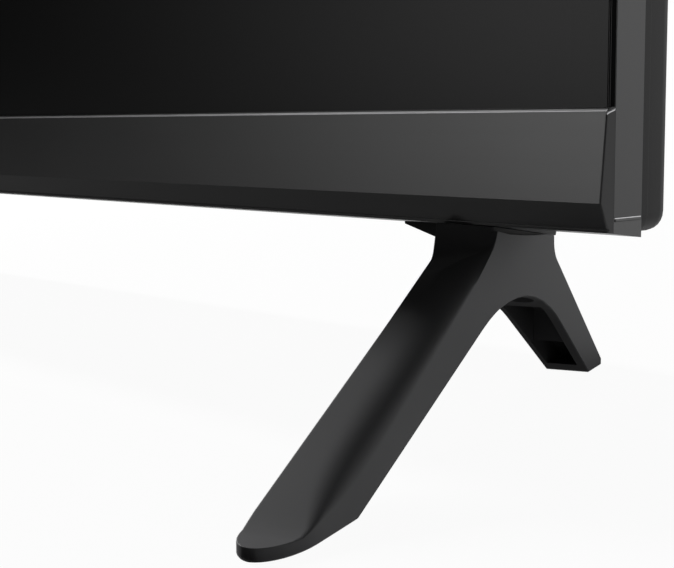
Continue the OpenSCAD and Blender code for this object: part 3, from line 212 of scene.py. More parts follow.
def side_slab(name, side, x0, x1, d0, d1, z0, z1):
    """A block on one side of the set, between two distances from its middle."""
    near, far = sorted((side * x0, side * x1))
    return slab(name, place(near, d0, z0), place(far, d1, z1))


def drum(name, radius, low, high, turned=(0, 0, 0), sides=40):
    """A round bar between two points: upright, unless it is turned."""
    rest()
    bpy.ops.mesh.primitive_cylinder_add(vertices=sides, radius=radius, depth=(high - low).length,
                                        location=(low + high) / 2, rotation=turned)
    return settle(named(name))


TO_BACK = (-math.pi / 2, 0, 0)
TO_SIDE = (0, math.pi / 2, 0)


def slice_off(piece, point, normal):
    """Cuts away what lies on the side that the normal points to."""
    edit(piece)
    bpy.ops.mesh.bisect(plane_co=point, plane_no=normal, use_fill=True, clear_outer=True)
    return settle(piece)


def dish(piece):
    """Sets the middle of the lower face back a little."""
    edit(piece)
    pick(piece, "faces", lambda face: face.normal.z < -0.9)
    bpy.ops.mesh.inset(thickness=DISH_RIM)
    bpy.ops.transform.translate(value=(0, 0, DISH_DEPTH))


def joined(name, pieces):
    take(*pieces)
    if len(pieces) > 1:
        bpy.ops.object.join()
    return named(name)


def carve(piece, tool, operation="DIFFERENCE"):
    take(piece)
    cutter = piece.modifiers.new("carve", "BOOLEAN")
    cutter.operation = operation
    cutter.solver = "EXACT"
    cutter.object = tool
    bpy.ops.object.modifier_apply(modifier=cutter.name)
    bpy.data.meshes.remove(tool.data)
    return piece


def soften(piece, width, segments=2, angle=25):
    """Rounds every edge that is sharper than an angle."""
    take(piece)
    edge = piece.modifiers.new("edges", "BEVEL")
    edge.width = width * MM
    edge.segments = segments
    edge.limit_method = "ANGLE"
    edge.angle_limit = math.radians(angle)
    edge.use_clamp_overlap = True
    bpy.ops.object.modifier_apply(modifier=edge.name)
    return smooth(piece)


def smooth(piece, angle=32):
    take(piece)
    bpy.ops.object.shade_smooth_by_angle(angle=math.radians(angle))
    return piece


def even_out(piece):
    """Keeps broad faces flat beside the small rounds along their edges."""
    take(piece)
    evened = piece.modifiers.new("evened", "WEIGHTED_NORMAL")
    evened.keep_sharp = True
    bpy.ops.object.modifier_apply(modifier=evened.name)


def dress(piece, finish, nodes=(), body=CABINET):
    """Gives a finished piece its material, its body and the nodes that it stands for."""
    even_out(piece)
    piece.data.materials.clear()
    piece.data.materials.append(finish)
    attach(piece, body)
    if nodes:
        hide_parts(*nodes)


def rounded(corners):
    """Flat corners (a, b, radius) with each radius drawn as a short arc."""
    count = len(corners)
    points = []
    for i, (a, b, radius) in enumerate(corners):
        here = Vector((a, b))
        if not radius:
            points.append(here)
            continue
        back = (Vector(corners[i - 1][:2]) - here).normalized()
        ahead = (Vector(corners[(i + 1) % count][:2]) - here).normalized()
        half = back.angle(ahead) / 2
        centre = here + (back + ahead).normalized() * radius / math.sin(half)
        first = here + back * radius / math.tan(half) - centre
        last = here + ahead * radius / math.tan(half) - centre
        turn = -first.angle_signed(last)
        steps = BROAD_ARC_STEPS if radius > BROAD_RADIUS else ARC_STEPS
        for k in range(steps + 1):
            spin = Matrix.Rotation(turn * k / steps, 2)
            points.append(centre + spin @ first)
    return points


# Shader tools

def one_way(operation):
    """An operator with the signal on the left."""
    return lambda signal, other=0.0: signal.finish.add("Math", {"operation": operation}, {0: signal, 1: other})


def both_ways(operation):
    """The same, and its reflected form with the signal on the right."""
    return one_way(operation), lambda signal, other: signal.finish.add("Math", {"operation": operation},
                                                                       {0: other, 1: signal})


class Signal:
    """A shader socket that takes part in plain arithmetic."""

    def __init__(self, finish, socket):
        self.finish = finish
        self.socket = socket

    __add__, __radd__ = both_ways("ADD")
    __sub__, __rsub__ = both_ways("SUBTRACT")
    __mul__, __rmul__ = both_ways("MULTIPLY")
    __truediv__, __rtruediv__ = both_ways("DIVIDE")
    __gt__, __lt__ = one_way("GREATER_THAN"), one_way("LESS_THAN")
    __mod__, __abs__ = one_way("FLOORED_MODULO"), one_way("ABSOLUTE")
    most, root = one_way("MAXIMUM"), one_way("SQRT")


class Finish:
    """A node tree under construction, for a material or for the studio's sky."""

    def __init__(self, owner):
        owner.use_nodes = True
        self.owner = owner
        self.tree = owner.node_tree
        self.tree.nodes.clear()

    def add(self, kind, settings=None, sockets=None, out=0):
        node = self.tree.nodes.new("ShaderNode" + kind)
        for key, value in (settings or {}).items():
            setattr(node, key, value)
        for key, value in (sockets or {}).items():
            if isinstance(value, Signal):
                self.tree.links.new(value.socket, node.inputs[key])
            else:
                node.inputs[key].default_value = value
        return Signal(self, node.outputs[out])

    def where(self):
        return self.add("TexCoord", out="Object")

    def axes(self):
        apart = self.add("SeparateXYZ", {}, {0: self.where()}).socket.node
        return [Signal(self, socket) for socket in apart.outputs]

    def stretched(self, x, y, z):
        """Object coordinates scaled along each axis, in repeats for each metre."""
        return self.add("Mapping", {}, {"Vector": self.where(), "Scale": (x, y, z)})

    def cloud(self, size, detail=2.0):
        """Soft noise with features of a size in millimetres."""
        return self.add("TexNoise", {}, {"Vector": self.where(), "Scale": 1 / (size * MM), "Detail": detail})

    def streaks(self, repeats, detail=2.0):
        """Soft noise drawn out along the axes."""
        return self.add("TexNoise", {}, {"Vector": self.stretched(*repeats), "Scale": 1.0, "Detail": detail})

    def pebbles(self, size):
        return self.add("TexVoronoi", {"feature": "SMOOTH_F1"},
                        {"Vector": self.where(), "Scale": 1 / (size * MM), "Smoothness": 0.6})

    def mix(self, mask, first, second):
        return self.add("Mix", {"data_type": "RGBA"}, {0: mask, 6: paint(first), 7: paint(second)}, out=2)

    def bump(self, height, depth, strength):
        return self.add("Bump", {}, {"Strength": strength, "Distance": depth * MM, "Height": height})

    def shade(self, **sockets):
        """Closes the material with one surface shader."""
        names = {key.replace("_", " "): paint(value) for key, value in sockets.items()}
        surface = self.add("BsdfPrincipled", {}, names)
        self.add_output(surface)
        return self.owner

    def add_output(self, surface, kind="OutputMaterial"):
        end = self.tree.nodes.new("ShaderNode" + kind)
        self.tree.links.new(surface.socket, end.inputs["Surface"])


def paint(value):
    return (*value, 1.0) if isinstance(value, tuple) and len(value) == 3 else value


def grey(level):
    return (level, level, level * 1.03)


def toned(tone, share):
    return tuple(share * t for t in tone)


def begin(name):
    return Finish(bpy.data.materials.new(name))


# Finishes

# Lines along X, in repeats for each metre
DRAWN = (6, 900, 900)
# Picture area of the screen and the pitch of its cells
PICTURE_HALF, PICTURE_LOW, PICTURE_HIGH, CELL = 348.9, 67.2, 459.5, 0.36
PRISM = 0.4


def moulded(name, tone, grain=0.35, depth=0.012, rough=0.45, specular=0.3, streak=0.0):
    """Grained moulded plastic, with a faint cloudiness and an optional draw direction along X."""
    finish = begin(name)
    fine = finish.cloud(grain, 3)
    pits = finish.pebbles(grain * 2.4)
    broad = finish.cloud(38, 2)
    flow = finish.streaks(DRAWN) if streak else broad
    colour = finish.mix(broad * 0.6 + fine * 0.25 + flow * streak,
                        toned(tone, 0.84), toned(tone, 1.16))
    roughness = rough - 0.06 + fine * 0.07 + broad * 0.05 + flow * streak * 0.08
    height = fine * 0.6 + pits * 0.4
    return finish.shade(Base_Color=colour, Roughness=roughness, Normal=finish.bump(height, depth, 0.7),
                        Specular_IOR_Level=specular)


def brushed(name, tone, rough=0.35, along=(8, 700, 700), depth=0.004):
    """Drawn or rolled metal with fine lines along one axis."""
    finish = begin(name)
    lines = finish.streaks(along, 3)
    stain = finish.cloud(14, 3)
    colour = finish.mix(lines * 0.5 + stain * 0.5, toned(tone, 0.78), tone)
    return finish.shade(Base_Color=colour, Metallic=1.0, Roughness=rough - 0.1 + lines * 0.16 + stain * 0.06,
                        Normal=finish.bump(lines, depth, 0.5))


def spangled(name, tone):
    """Galvanised sheet with its crystal flowers."""
    finish = begin(name)
    flowers = finish.add("TexVoronoi", {"feature": "F1"}, {"Vector": finish.where(), "Scale": 140.0}, out="Color")
    leaf = finish.add("SeparateColor", {}, {0: flowers})
    dust = finish.cloud(2, 3)
    colour = finish.mix(leaf * 0.8 + dust * 0.2, toned(tone, 0.72), tone)
    return finish.shade(Base_Color=colour, Metallic=0.9, Roughness=0.34 + leaf * 0.18,
                        Normal=finish.bump(dust, 0.004, 0.4))


def circuit(name, mask_tone, trace_tone, pitch=3.2):
    """Circuit board: solder mask over right-angled tracks, with rings of bare metal."""
    finish = begin(name)
    cell = finish.add("TexVoronoi", {"feature": "F1", "distance": "MANHATTAN"},
                      {"Vector": finish.where(), "Scale": 1 / (pitch * MM), "Randomness": 0.7})
    tracks = finish.add("TexBrick", {"offset": 0.5},
                        {"Vector": finish.stretched(1000 / pitch, 1000 / pitch, 1000 / pitch),
                         "Scale": 1.0, "Mortar Size": 0.06}, out="Fac")
    rings = (cell < 0.16) * (1 - (cell < 0.07))
    weave = finish.cloud(0.5, 2)
    cover = finish.mix(tracks * 0.6 + weave * 0.2, mask_tone, trace_tone)
    colour = finish.mix(rings, cover, (0.62, 0.56, 0.40))
    return finish.shade(Base_Color=colour, Metallic=rings * 0.9, Roughness=0.38 + weave * 0.12 - rings * 0.1,
                        Normal=finish.bump(tracks + rings, 0.03, 0.6))


def striped(name, first, second, axis, pitch, share=0.5, rough=0.4, metal=0.0):
    """Ribbon, film or sleeve with straight stripes across one axis."""
    finish = begin(name)
    across = finish.axes()[axis]
    phase = (across / (pitch * MM)) % 1.0
    stripe = phase < share
    haze = finish.cloud(3, 2)
    colour = finish.mix(haze * 0.35, finish.mix(stripe, first, second), toned(first, 0.7))
    return finish.shade(Base_Color=colour, Roughness=rough + haze * 0.12, Metallic=stripe * metal,
                        Normal=finish.bump(stripe, 0.02, 0.5))


def sheet_white(name, tone, rough, ridge=0.0):
    """Optical sheet: evenly white, with a soft tooth or fine prisms."""
    finish = begin(name)
    tooth = finish.cloud(0.25, 2)
    haze = finish.cloud(60, 2)
    phase = (finish.axes()[2] / (PRISM * MM)) % 1.0
    height = tooth * (1 - ridge) + abs(phase - 0.5) * 2 * ridge
    colour = finish.mix(haze * 0.5 + tooth * 0.2, toned(tone, 0.94), tone)
    return finish.shade(Base_Color=colour, Roughness=rough + tooth * 0.1, Normal=finish.bump(height, 0.02, 0.5))


def screen_black():
    """Anti-glare panel face: a near black picture area inside a blacker border."""
    finish = begin("screen_black")
    x, _, z = finish.axes()
    middle_z = (PICTURE_LOW + PICTURE_HIGH) / 2 * MM
    half_tall = (PICTURE_HIGH - PICTURE_LOW) / 2 * MM
    border = (abs(x) > PICTURE_HALF * MM).most(abs(z - middle_z) > half_tall)
    cells = (x / (CELL * MM)) % 1.0
    rows = (z / (CELL * MM)) % 1.0
    grid = (cells < 0.12).most(rows < 0.12)
    sparkle = finish.cloud(0.12, 2)
    lit = finish.mix(grid * 0.5 + sparkle * 0.2, (0.0034, 0.0034, 0.0040), (0.0018, 0.0018, 0.0022))
    colour = finish.mix(border, lit, (0.0014, 0.0014, 0.0017))
    return finish.shade(Base_Color=colour, Roughness=0.26 + sparkle * 0.05,
                        Normal=finish.bump(sparkle, 0.002, 0.25), Specular_IOR_Level=0.145)


def clear_dark(name, tone, rough=0.12):
    """Polished tinted plastic with faint flow marks."""
    finish = begin(name)
    flow = finish.cloud(5, 3)
    speck = finish.cloud(0.4, 2)
    colour = finish.mix(flow * 0.6 + speck * 0.2, tone, toned(tone, 1.4))
    return finish.shade(Base_Color=colour, Roughness=rough + speck * 0.06, Coat_Weight=0.4 + flow * 0.2,
                        Normal=finish.bump(flow, 0.01, 0.3))


def turned(name, tone, repeats, pitch, rough=0.3, metal=1.0):
    """Machined metal, scuffed, with the fine steps of a thread along Y."""
    finish = begin(name)
    mottle = finish.streaks((repeats, repeats, repeats))
    scuff = finish.cloud(1.2, 3)
    thread = abs((finish.axes()[1] / (pitch * MM)) % 1.0 - 0.5) * 2
    colour = finish.mix(mottle * 0.4 + scuff * 0.5, toned(tone, 0.6), tone)
    return finish.shade(Base_Color=colour, Metallic=metal, Roughness=rough + scuff * 0.2,
                        Normal=finish.bump(thread * 0.5 + scuff * 0.5, 0.02, 0.4))


def rubber(name, tone):
    finish = begin(name)
    tooth = finish.cloud(0.3, 4)
    dust = finish.cloud(2.5, 3)
    colour = finish.mix(dust * 0.7 + tooth * 0.2, tone, toned(tone, 2.2))
    return finish.shade(Base_Color=colour, Roughness=0.78 + tooth * 0.14, Normal=finish.bump(tooth, 0.03, 0.8),
                        Specular_IOR_Level=0.25)


CHIN_SATIN = moulded("chin_satin", grey(0.040), grain=0.22, depth=0.004, rough=0.30, specular=0.5, streak=0.3)
FRAME_SATIN = moulded("frame_satin", grey(0.046), grain=0.3, depth=0.008, rough=0.46, specular=0.34)
COVER_GRAIN = moulded("cover_grain", grey(0.014), grain=0.5, depth=0.03, rough=0.5, specular=0.13)
SEAT_BLACK = moulded("seat_black", grey(0.030), grain=0.5, depth=0.02, rough=0.6, specular=0.08)
FOOT_GRAIN = moulded("foot_grain", grey(0.075), grain=0.26, depth=0.006, rough=0.58, specular=0.095)
INNER_PLASTIC = moulded("inner_plastic", grey(0.030), grain=0.4, depth=0.01, rough=0.5)
KEY_SATIN = moulded("key_satin", grey(0.026), grain=0.2, depth=0.004, rough=0.36)
BLACK_MOULDING = moulded("black_moulding", grey(0.016), grain=0.4, depth=0.015, rough=0.5)
CHIP_BLACK = moulded("chip_black", grey(0.018), grain=0.18, depth=0.008, rough=0.55)
PLUNGER_RED = moulded("plunger_red", (0.36, 0.05, 0.035), grain=0.2, depth=0.004, rough=0.4)
TRANSFORMER_TAPE = striped("transformer_tape", (0.62, 0.42, 0.05), (0.52, 0.34, 0.03), 2, 4.0, 0.9)
CAPACITOR_SLEEVE = striped("capacitor_sleeve", (0.022, 0.024, 0.04), (0.42, 0.43, 0.46), 0, 16.0, 0.16)
RIBBON_WHITE = striped("ribbon_white", (0.70, 0.70, 0.67), (0.45, 0.45, 0.44), 0, 1.0, 0.35)
FILM_AMBER = striped("film_amber", (0.36, 0.19, 0.04), (0.52, 0.33, 0.12), 0, 0.8, 0.45, rough=0.25)
LEAD_RED = striped("lead_red", (0.42, 0.035, 0.028), (0.36, 0.028, 0.022), 0, 6.0, 0.5)
CONTACT_GOLD = striped("contact_gold", (0.018, 0.018, 0.02), (0.75, 0.56, 0.24), 2, 1.0, 0.5, rough=0.3, metal=1.0)
SCREEN_BLACK = screen_black()
PANEL_GLASS = clear_dark("panel_glass", (0.016, 0.017, 0.022))
LENS_DARK = clear_dark("lens_dark", (0.045, 0.006, 0.008))
LENS_CLEAR = clear_dark("lens_clear", (0.60, 0.66, 0.68))
LAMP_PHOSPHOR = rubber("lamp_phosphor", (0.62, 0.44, 0.08))
FOAM_BLACK = rubber("foam_black", grey(0.014))
# Near black: the panel seal's own colour, and painted shadow on the strips in the necks' gaps
SEAL_AND_SHADOW_BLACK = moulded("seal_and_shadow_black", grey(0.003), grain=0.3, depth=0.004, rough=0.6, specular=0.05)
# Bright metal for the strips that paint the highlights along the chin's edges and seams
HIGHLIGHT_METAL = brushed("highlight_metal", (0.62, 0.62, 0.63), rough=0.34)
PAD_RUBBER = rubber("pad_rubber", grey(0.010))
CONE_PAPER = rubber("cone_paper", grey(0.016))
FILM_PRISM = sheet_white("film_prism", (0.72, 0.76, 0.78), 0.3, ridge=0.8)
DIFFUSER_WHITE = sheet_white("diffuser_white", (0.82, 0.82, 0.81), 0.55)
REFLECTOR_WHITE = sheet_white("reflector_white", (0.88, 0.88, 0.88), 0.4)
BAR_WHITE = sheet_white("bar_white", (0.80, 0.81, 0.81), 0.45)
CHASSIS_STEEL = spangled("chassis_steel", (0.56, 0.57, 0.58))
TIN_PLATE = brushed("tin_plate", (0.66, 0.67, 0.68), rough=0.3)
POST_STEEL = turned("post_steel", (0.60, 0.61, 0.62), 300, pitch=0.7)
SCREW_STEEL = turned("screw_steel", (0.58, 0.58, 0.59), 500, pitch=0.5)
SCREW_BLACK = turned("screw_black", (0.05, 0.05, 0.052), 500, pitch=0.5, rough=0.36, metal=0.7)
SINK_ALUMINIUM = brushed("sink_aluminium", (0.62, 0.64, 0.66), rough=0.42, along=(700, 700, 10))
CONTACT_STEEL = brushed("contact_steel", (0.72, 0.72, 0.73), rough=0.24)
CONTACT_BRASS = brushed("contact_brass", (0.72, 0.55, 0.24), rough=0.3)
BASKET_STEEL = brushed("basket_steel", (0.10, 0.10, 0.11), rough=0.5, along=(60, 60, 700))
BOARD_GREEN = circuit("board_green", (0.012, 0.10, 0.045), (0.02, 0.16, 0.07))
BOARD_TAN = circuit("board_tan", (0.36, 0.21, 0.08), (0.45, 0.29, 0.12), pitch=5.0)

KEPT_NODES = {
    PANEL_GLASS: "panel_rear_glass",
    FOAM_BLACK: "panel_gasket",
    INNER_PLASTIC: "inner_frame",
    FILM_PRISM: "prism_film",
    DIFFUSER_WHITE: "diffuser_film diffuser_plate",
    REFLECTOR_WHITE: "reflector",
    LENS_CLEAR: "lamp_lenses",
    LAMP_PHOSPHOR: "lamp_chips",
    BAR_WHITE: "light_bars",
    CHASSIS_STEEL: "backlight_chassis foot_brackets",
    BOARD_GREEN: "source_board main_board wireless_module control_board",
    FILM_AMBER: "drive_films",
    RIBBON_WHITE: "signal_cable control_leads",
    CHIP_BLACK: "main_chips network_socket infrared_receiver key_switch",
    SINK_ALUMINIUM: "heat_sink power_heat_sinks",
    TIN_PLATE: "tuner_can video_sockets data_socket",
    CONTACT_BRASS: "antenna_socket",
    BOARD_TAN: "power_board",
    TRANSFORMER_TAPE: "transformer",
    CAPACITOR_SLEEVE: "power_capacitors",
    BLACK_MOULDING: "mains_inlet left_speaker_box right_speaker_box",
    CONTACT_STEEL: "mains_pins",
    LEAD_RED: "power_leads speaker_leads",
    BASKET_STEEL: "left_speaker_driver right_speaker_driver",
    CONE_PAPER: "left_speaker_cone right_speaker_cone",
    PLUNGER_RED: "key_plunger",
    POST_STEEL: "wall_mount_posts",
    SCREW_STEEL: "bracket_screws board_screws",
}
for finish, nodes in KEPT_NODES.items():
    for node in nodes.split():
        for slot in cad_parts[node].material_slots:
            slot.material = finish


# Camera and studio

CAMERA_AT = Vector((504.24, -205.69, 64.55)) * MM
CAMERA_YAW, CAMERA_PITCH, CAMERA_ROLL = (math.radians(a) for a in (46.3, 7.03, -0.42))
CAMERA_LENS = 70.99
FLOOR_SIZE, FLOOR_NEAR, FLOOR_FAR = 14, 0.45, 1.5
SKY_STRENGTH = 0.12
# Flags on the table, in plan, and the heights at which they lie
TABLE_PLAN = ((-2.4, -1.7), (0.6, -1.7), (0.6, -0.13), (0.37, -0.13), (0.35, -0.04), (-2.4, -0.04))
UNDER_PLAN = ((-2.4, -0.04), (0.35, -0.04), (0.335, -0.03), (0.335, 0.10), (-2.4, 0.10))
FLAG_Z, GLOW_Z = 0.0004, 0.0006
STUDIO_LEFT, STUDIO_RIGHT, STUDIO_FRONT, STUDIO_TOP = -2.5, 1.6, -1.8, 2.4
ROOF_PLAN = ((-1.3, STUDIO_FRONT), (STUDIO_RIGHT, STUDIO_FRONT), (STUDIO_RIGHT, 0.5), (-1.3, 0.5))


def aim_camera():
    """Turns the camera from level by its yaw, then down by its pitch, then about its own axis."""
    turn = Matrix.Rotation(CAMERA_YAW, 4, "Z") @ Matrix.Rotation(math.pi / 2 - CAMERA_PITCH, 4, "X")
    rest()
    bpy.ops.object.camera_add()
    camera = bpy.context.active_object
    camera.matrix_world = Matrix.Translation(CAMERA_AT) @ turn @ Matrix.Rotation(CAMERA_ROLL, 4, "Z")
    camera.data.lens = CAMERA_LENS
    camera.data.sensor_width = 36
    camera.data.clip_start = 0.01
    bpy.context.scene.camera = camera


def seen(finish):
    """One for rays that show the background: straight, mirrored or through glass."""
    path = finish.add("LightPath").socket.node
    rays = [Signal(finish, path.outputs[name]) for name in ("Is Camera Ray", "Is Glossy Ray", "Is Transmission Ray")]
    return rays[0].most(rays[1]).most(rays[2])


def lay_floor():
    rest()
    bpy.ops.mesh.primitive_plane_add(size=FLOOR_SIZE)
    floor = named("floor")
    finish = begin("floor_pale")
    x, y, _ = finish.axes()
    far = finish.add("MapRange", {"interpolation_type": "SMOOTHSTEP"},
                     {"Value": (x * x + y * y).root(), "From Min": FLOOR_NEAR, "From Max": FLOOR_FAR})
    matte = finish.add("BsdfDiffuse", {}, {"Color": (0.6, 0.6, 0.6, 1)})
    white = finish.add("Emission", {}, {"Color": (1, 1, 1, 1), "Strength": 1.0})
    surface = finish.add("MixShader", {}, {0: seen(finish) * (0.95 + far * 0.05), 1: matte, 2: white})
    finish.add_output(surface)
    floor.data.materials.append(finish.owner)


def hang_sky():
    sky = bpy.data.worlds.new("studio")
    bpy.context.scene.world = sky
    finish = Finish(sky)
    dim = finish.add("Background", {}, {"Color": (1, 1, 1, 1), "Strength": SKY_STRENGTH})
    white = finish.add("Background", {}, {"Color": (1, 1, 1, 1), "Strength": 1.0})
    finish.add_output(finish.add("MixShader", {}, {0: seen(finish), 1: dim, 2: white}), "OutputWorld")


def hang_lamp(name, at, target, size, power):
    rest()
    bpy.ops.object.light_add(type="AREA", location=at)
    lamp = bpy.context.active_object
    lamp.name = name
    lamp.rotation_euler = (Vector(target) - Vector(at)).to_track_quat("-Z", "Y").to_euler()
    lamp.data.shape = "RECTANGLE"
    lamp.data.size, lamp.data.size_y = size
    lamp.data.energy = power


def set_flag(name, corners, glow=0.0):
    """Black cloth that only reflected and scattered light meets. With a glow it is a dim card."""
    flag = settle(outline(name, [Vector(corner) for corner in corners]))
    finish = begin(name + "_cloth")
    cloth = finish.cloud(3, 2)
    finish.shade(Base_Color=finish.mix(cloth, (0.002, 0.002, 0.002), (0.004, 0.004, 0.004)), Roughness=0.9,
                 Specular_IOR_Level=0.0, Emission_Color=(1.0, 1.0, 1.0), Emission_Strength=glow)
    flag.data.materials.append(finish.owner)
    flag.visible_camera = False
    flag.visible_shadow = False
    return flag


def hang_card(name, corners, strength, dark_x, bright_x):
    """A glowing card that the screen mirrors, fading out along X."""
    card = settle(outline(name, [Vector(corner) for corner in corners]))
    finish = begin(name + "_glow")
    rise = finish.add("MapRange", {}, {"Value": finish.axes()[0], "From Min": dark_x, "From Max": bright_x})
    glow = finish.mix(rise * rise * rise, (0.0, 0.0, 0.0), (1.0, 1.0, 1.0))
    finish.add_output(finish.add("Emission", {}, {"Color": glow, "Strength": strength}))
    card.data.materials.append(finish.owner)
    card.visible_camera = False
    card.visible_diffuse = False
    card.visible_shadow = False


def upright(left, right, y, low, high):
    return (left, y, low), (right, y, low), (right, y, high), (left, y, high)


def sideways(x, front, back, high):
    return (x, front, 0), (x, back, 0), (x, back, high), (x, front, high)


def lying(corners, z):
    return [(x, y, z) for x, y in corners]


aim_camera()
lay_floor()
hang_sky()
set_flag("table_flag", lying(TABLE_PLAN, FLAG_Z)).visible_glossy = False
set_flag("table_glow", lying(TABLE_PLAN, GLOW_Z), glow=0.24).visible_diffuse = False
set_flag("under_flag", lying(UNDER_PLAN, FLAG_Z), glow=0.11)
set_flag("front_flag", upright(STUDIO_LEFT, STUDIO_RIGHT, STUDIO_FRONT, 0, STUDIO_TOP))
set_flag("left_flag", sideways(STUDIO_LEFT, STUDIO_FRONT, 0, STUDIO_TOP))
set_flag("side_flag", sideways(0.62, -0.7, 0.35, 0.9)).visible_glossy = False
set_flag("roof_flag", lying(ROOF_PLAN, STUDIO_TOP))
hang_card("front_card", upright(-1.95, -0.1, -1.2, 0.03, 0.62), strength=3.5, dark_x=-1.9, bright_x=-0.51)
hang_lamp("top_box", (-1.8, 0.074, 1.05), (0.33, 0.074, 0), size=(0.035, 0.9), power=88)
hang_lamp("side_box", (1.4, 0.75, 0.32), (0.35, 0, 0.05), size=(0.6, 0.5), power=3.6)
hang_lamp("rear_box", (-0.7, 1.7, 1.3), (0, 0.05, 0.2), size=(1.0, 1.0), power=16)
bpy.context.scene.view_settings.view_transform = "Standard"


# Chin

# Section of (depth, height) corners
CHIN_PROFILE = (
    (-0.8, 43.0), (9.2, under_z(9.2)), (9.2, 45.2), (0.6, 45.2), (0.6, 66.6), (-0.6, 66.6), (-1.3, 65.9),
    (-2.1, 48.6), (-0.98, 43.78), (-0.66, 43.70), (-0.62, 43.52), (-0.90, 43.45),
)
FACET = Vector((3.1, -2.48, 0)).normalized()
# Strips of bright metal that paint the highlights: sections of (outward, height) corners along the chin's top edge and
# along its end facets
BROW = ((0.94, 66.2), (1.02, 66.3), (1.42, 65.9), (1.33, 65.76))
FACET_BROW = ((-0.3, 65.6), (-0.05, 65.75), (0.14, 65.45), (-0.1, 65.1))
BROW_END, BROW_RISE = 358.9, 0.75
FACET_FROM, FACET_TO = (358.95, -1.31), (359.93, -0.09)
RETURN_LOW, RETURN_HIGH = 45.0, 45.7
KEY_ROOM = ((-76.3, 1.9, 38), (-63.7, 6.5, 47))
LENS_ROOM = ((-8.2, 2.2, 38), (8.2, 6.2, 47))
POSTS_LEFT, POST_SIDE, POST_TOP = (-104, 21), 3, 51


def is_facet_crease(edge):
    normals = [face.normal for face in edge.link_faces]
    return len(normals) == 2 and any(abs(n.x) > 0.6 for n in normals) and any(n.y < -0.9 for n in normals)


def make_chin():
    chin = prism("chin_shell", [place(-HALF_W, d, z) for d, z in CHIN_PROFILE], place(HALF_W * 2, -FRONT, 0))
    for side in SIDES:
        slice_off(chin, place(side * HALF_W, 0, 0), Vector((side * FACET.x, FACET.y, 0)))
    edit(chin)
    pick(chin, "edges", is_facet_crease)
    bpy.ops.mesh.bevel(offset=0.42 * MM, segments=3)
    for side in SIDES:
        carve(chin, side_slab("frame_room", side, 358.8, HALF_W + 1, -0.03, FRAME_DEPTH + 1, SEAM_Z, 70))
    for room in (KEY_ROOM, LENS_ROOM):
        carve(chin, slab("room", *(place(*corner) for corner in room)))
    soften(chin, 0.1, 2, 11)
    extras = [side_slab("return", side, 358, HALF_W, 0, FRAME_DEPTH, RETURN_LOW, RETURN_HIGH) for side in SIDES]
    for left in POSTS_LEFT:
        extras.append(slab("post", place(left, 2.7, RETURN_LOW), place(left + POST_SIDE, 5.7, POST_TOP)))
    dress(smooth(joined("chin_shell", [chin] + [soften(e, 0.12) for e in extras])),
          CHIN_SATIN, ["chin"])


def bead(start, end, outwards, section, rise=0.0):
    """Thin bright strip between two (x, d) points, a painted highlight."""
    corners = [place(start[0] + outwards[0] * o, start[1] + outwards[1] * o, z) for o, z in section]
    return prism("bead", corners, place(*end, rise) - place(*start, 0))


def make_highlight_strips():
    """Bright metal strips as painted highlights along the chin's upper edge, around its facets, and in the seam of
    each side.
    """
    beads = [bead((-BROW_END, 0), (BROW_END, 0), (0, -1), BROW)]
    for side in SIDES:
        start, end = ((side * x, d) for x, d in (FACET_FROM, FACET_TO))
        beads.append(bead(start, end, (side * FACET.x, FACET.y), FACET_BROW, BROW_RISE))
        # Painted highlight in the seam, where the chamfered edge catches the light
        beads.append(side_slab("seam", side, 359.6, HALF_W + 0.02, 0.3, FRAME_DEPTH - 0.2, 45.69, 45.85))
    dress(soften(joined("chin_painted_highlights", beads), 0.03, 1), HIGHLIGHT_METAL)


make_chin()
make_highlight_strips()


# Front frame and screen

ROOM_HALF, ROOM_DEPTH, WINDOW_HALF, WINDOW_DROP = 359, 7.4, 352, 8
RIBS_X, RIB_WIDTH, RIB_LOW = (358.3, 358.72), 0.12, 66.7
SEAL_INNER, SEAL_OUTER, SEAL_LOW, SEAL_TOP = 358.05, 359.72, 66.65, TOP - 0.28


def make_frame():
    shell = slab("frame_shell", place(-HALF_W, 0, SEAM_Z), place(HALF_W, FRAME_DEPTH, TOP))
    carve(shell, slab("room", place(-ROOM_HALF, -1, SEAM_Z - 1), place(ROOM_HALF, ROOM_DEPTH, TOP - 1)))
    carve(shell, slab("window", place(-WINDOW_HALF, -1, SEAM_Z - 1),
                      place(WINDOW_HALF, FRAME_DEPTH + 1, TOP - WINDOW_DROP)))
    soften(shell, 0.1, 2)
    ribs = [side_slab("rib", side, x, x + RIB_WIDTH, -0.16, 0.6, RIB_LOW, TOP - 1.2) for side in SIDES for x in RIBS_X]
    dress(smooth(joined("frame_shell", [shell] + [soften(rib, 0.03, 1) for rib in ribs])),
          FRAME_SATIN, ["bezel_frame"])


def make_seal():
    """Black seal between the panel and the frame, on three sides."""
    inner, outer = SEAL_INNER, SEAL_OUTER
    under = SEAL_TOP - (outer - inner)
    corners = ((-outer, SEAL_LOW), (-inner, SEAL_LOW), (-inner, under), (inner, under), (inner, SEAL_LOW),
               (outer, SEAL_LOW), (outer, SEAL_TOP), (-outer, SEAL_TOP))
    seal = prism("panel_seal", [place(x, -0.1, z) for x, z in corners], place(0, 0.5 - FRONT, 0))
    dress(soften(seal, 0.05, 2), SEAL_AND_SHADOW_BLACK)


def make_screen():
    low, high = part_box("screen_glass")
    face = soften(slab("screen_face", low, high), 0.12, 2)
    dress(face, SCREEN_BLACK, ["screen_glass"])


make_frame()
make_seal()
make_screen()


# Feet, modelled in a frame of their own: +X outwards, -Y to the toe, the neck's middle at the origin

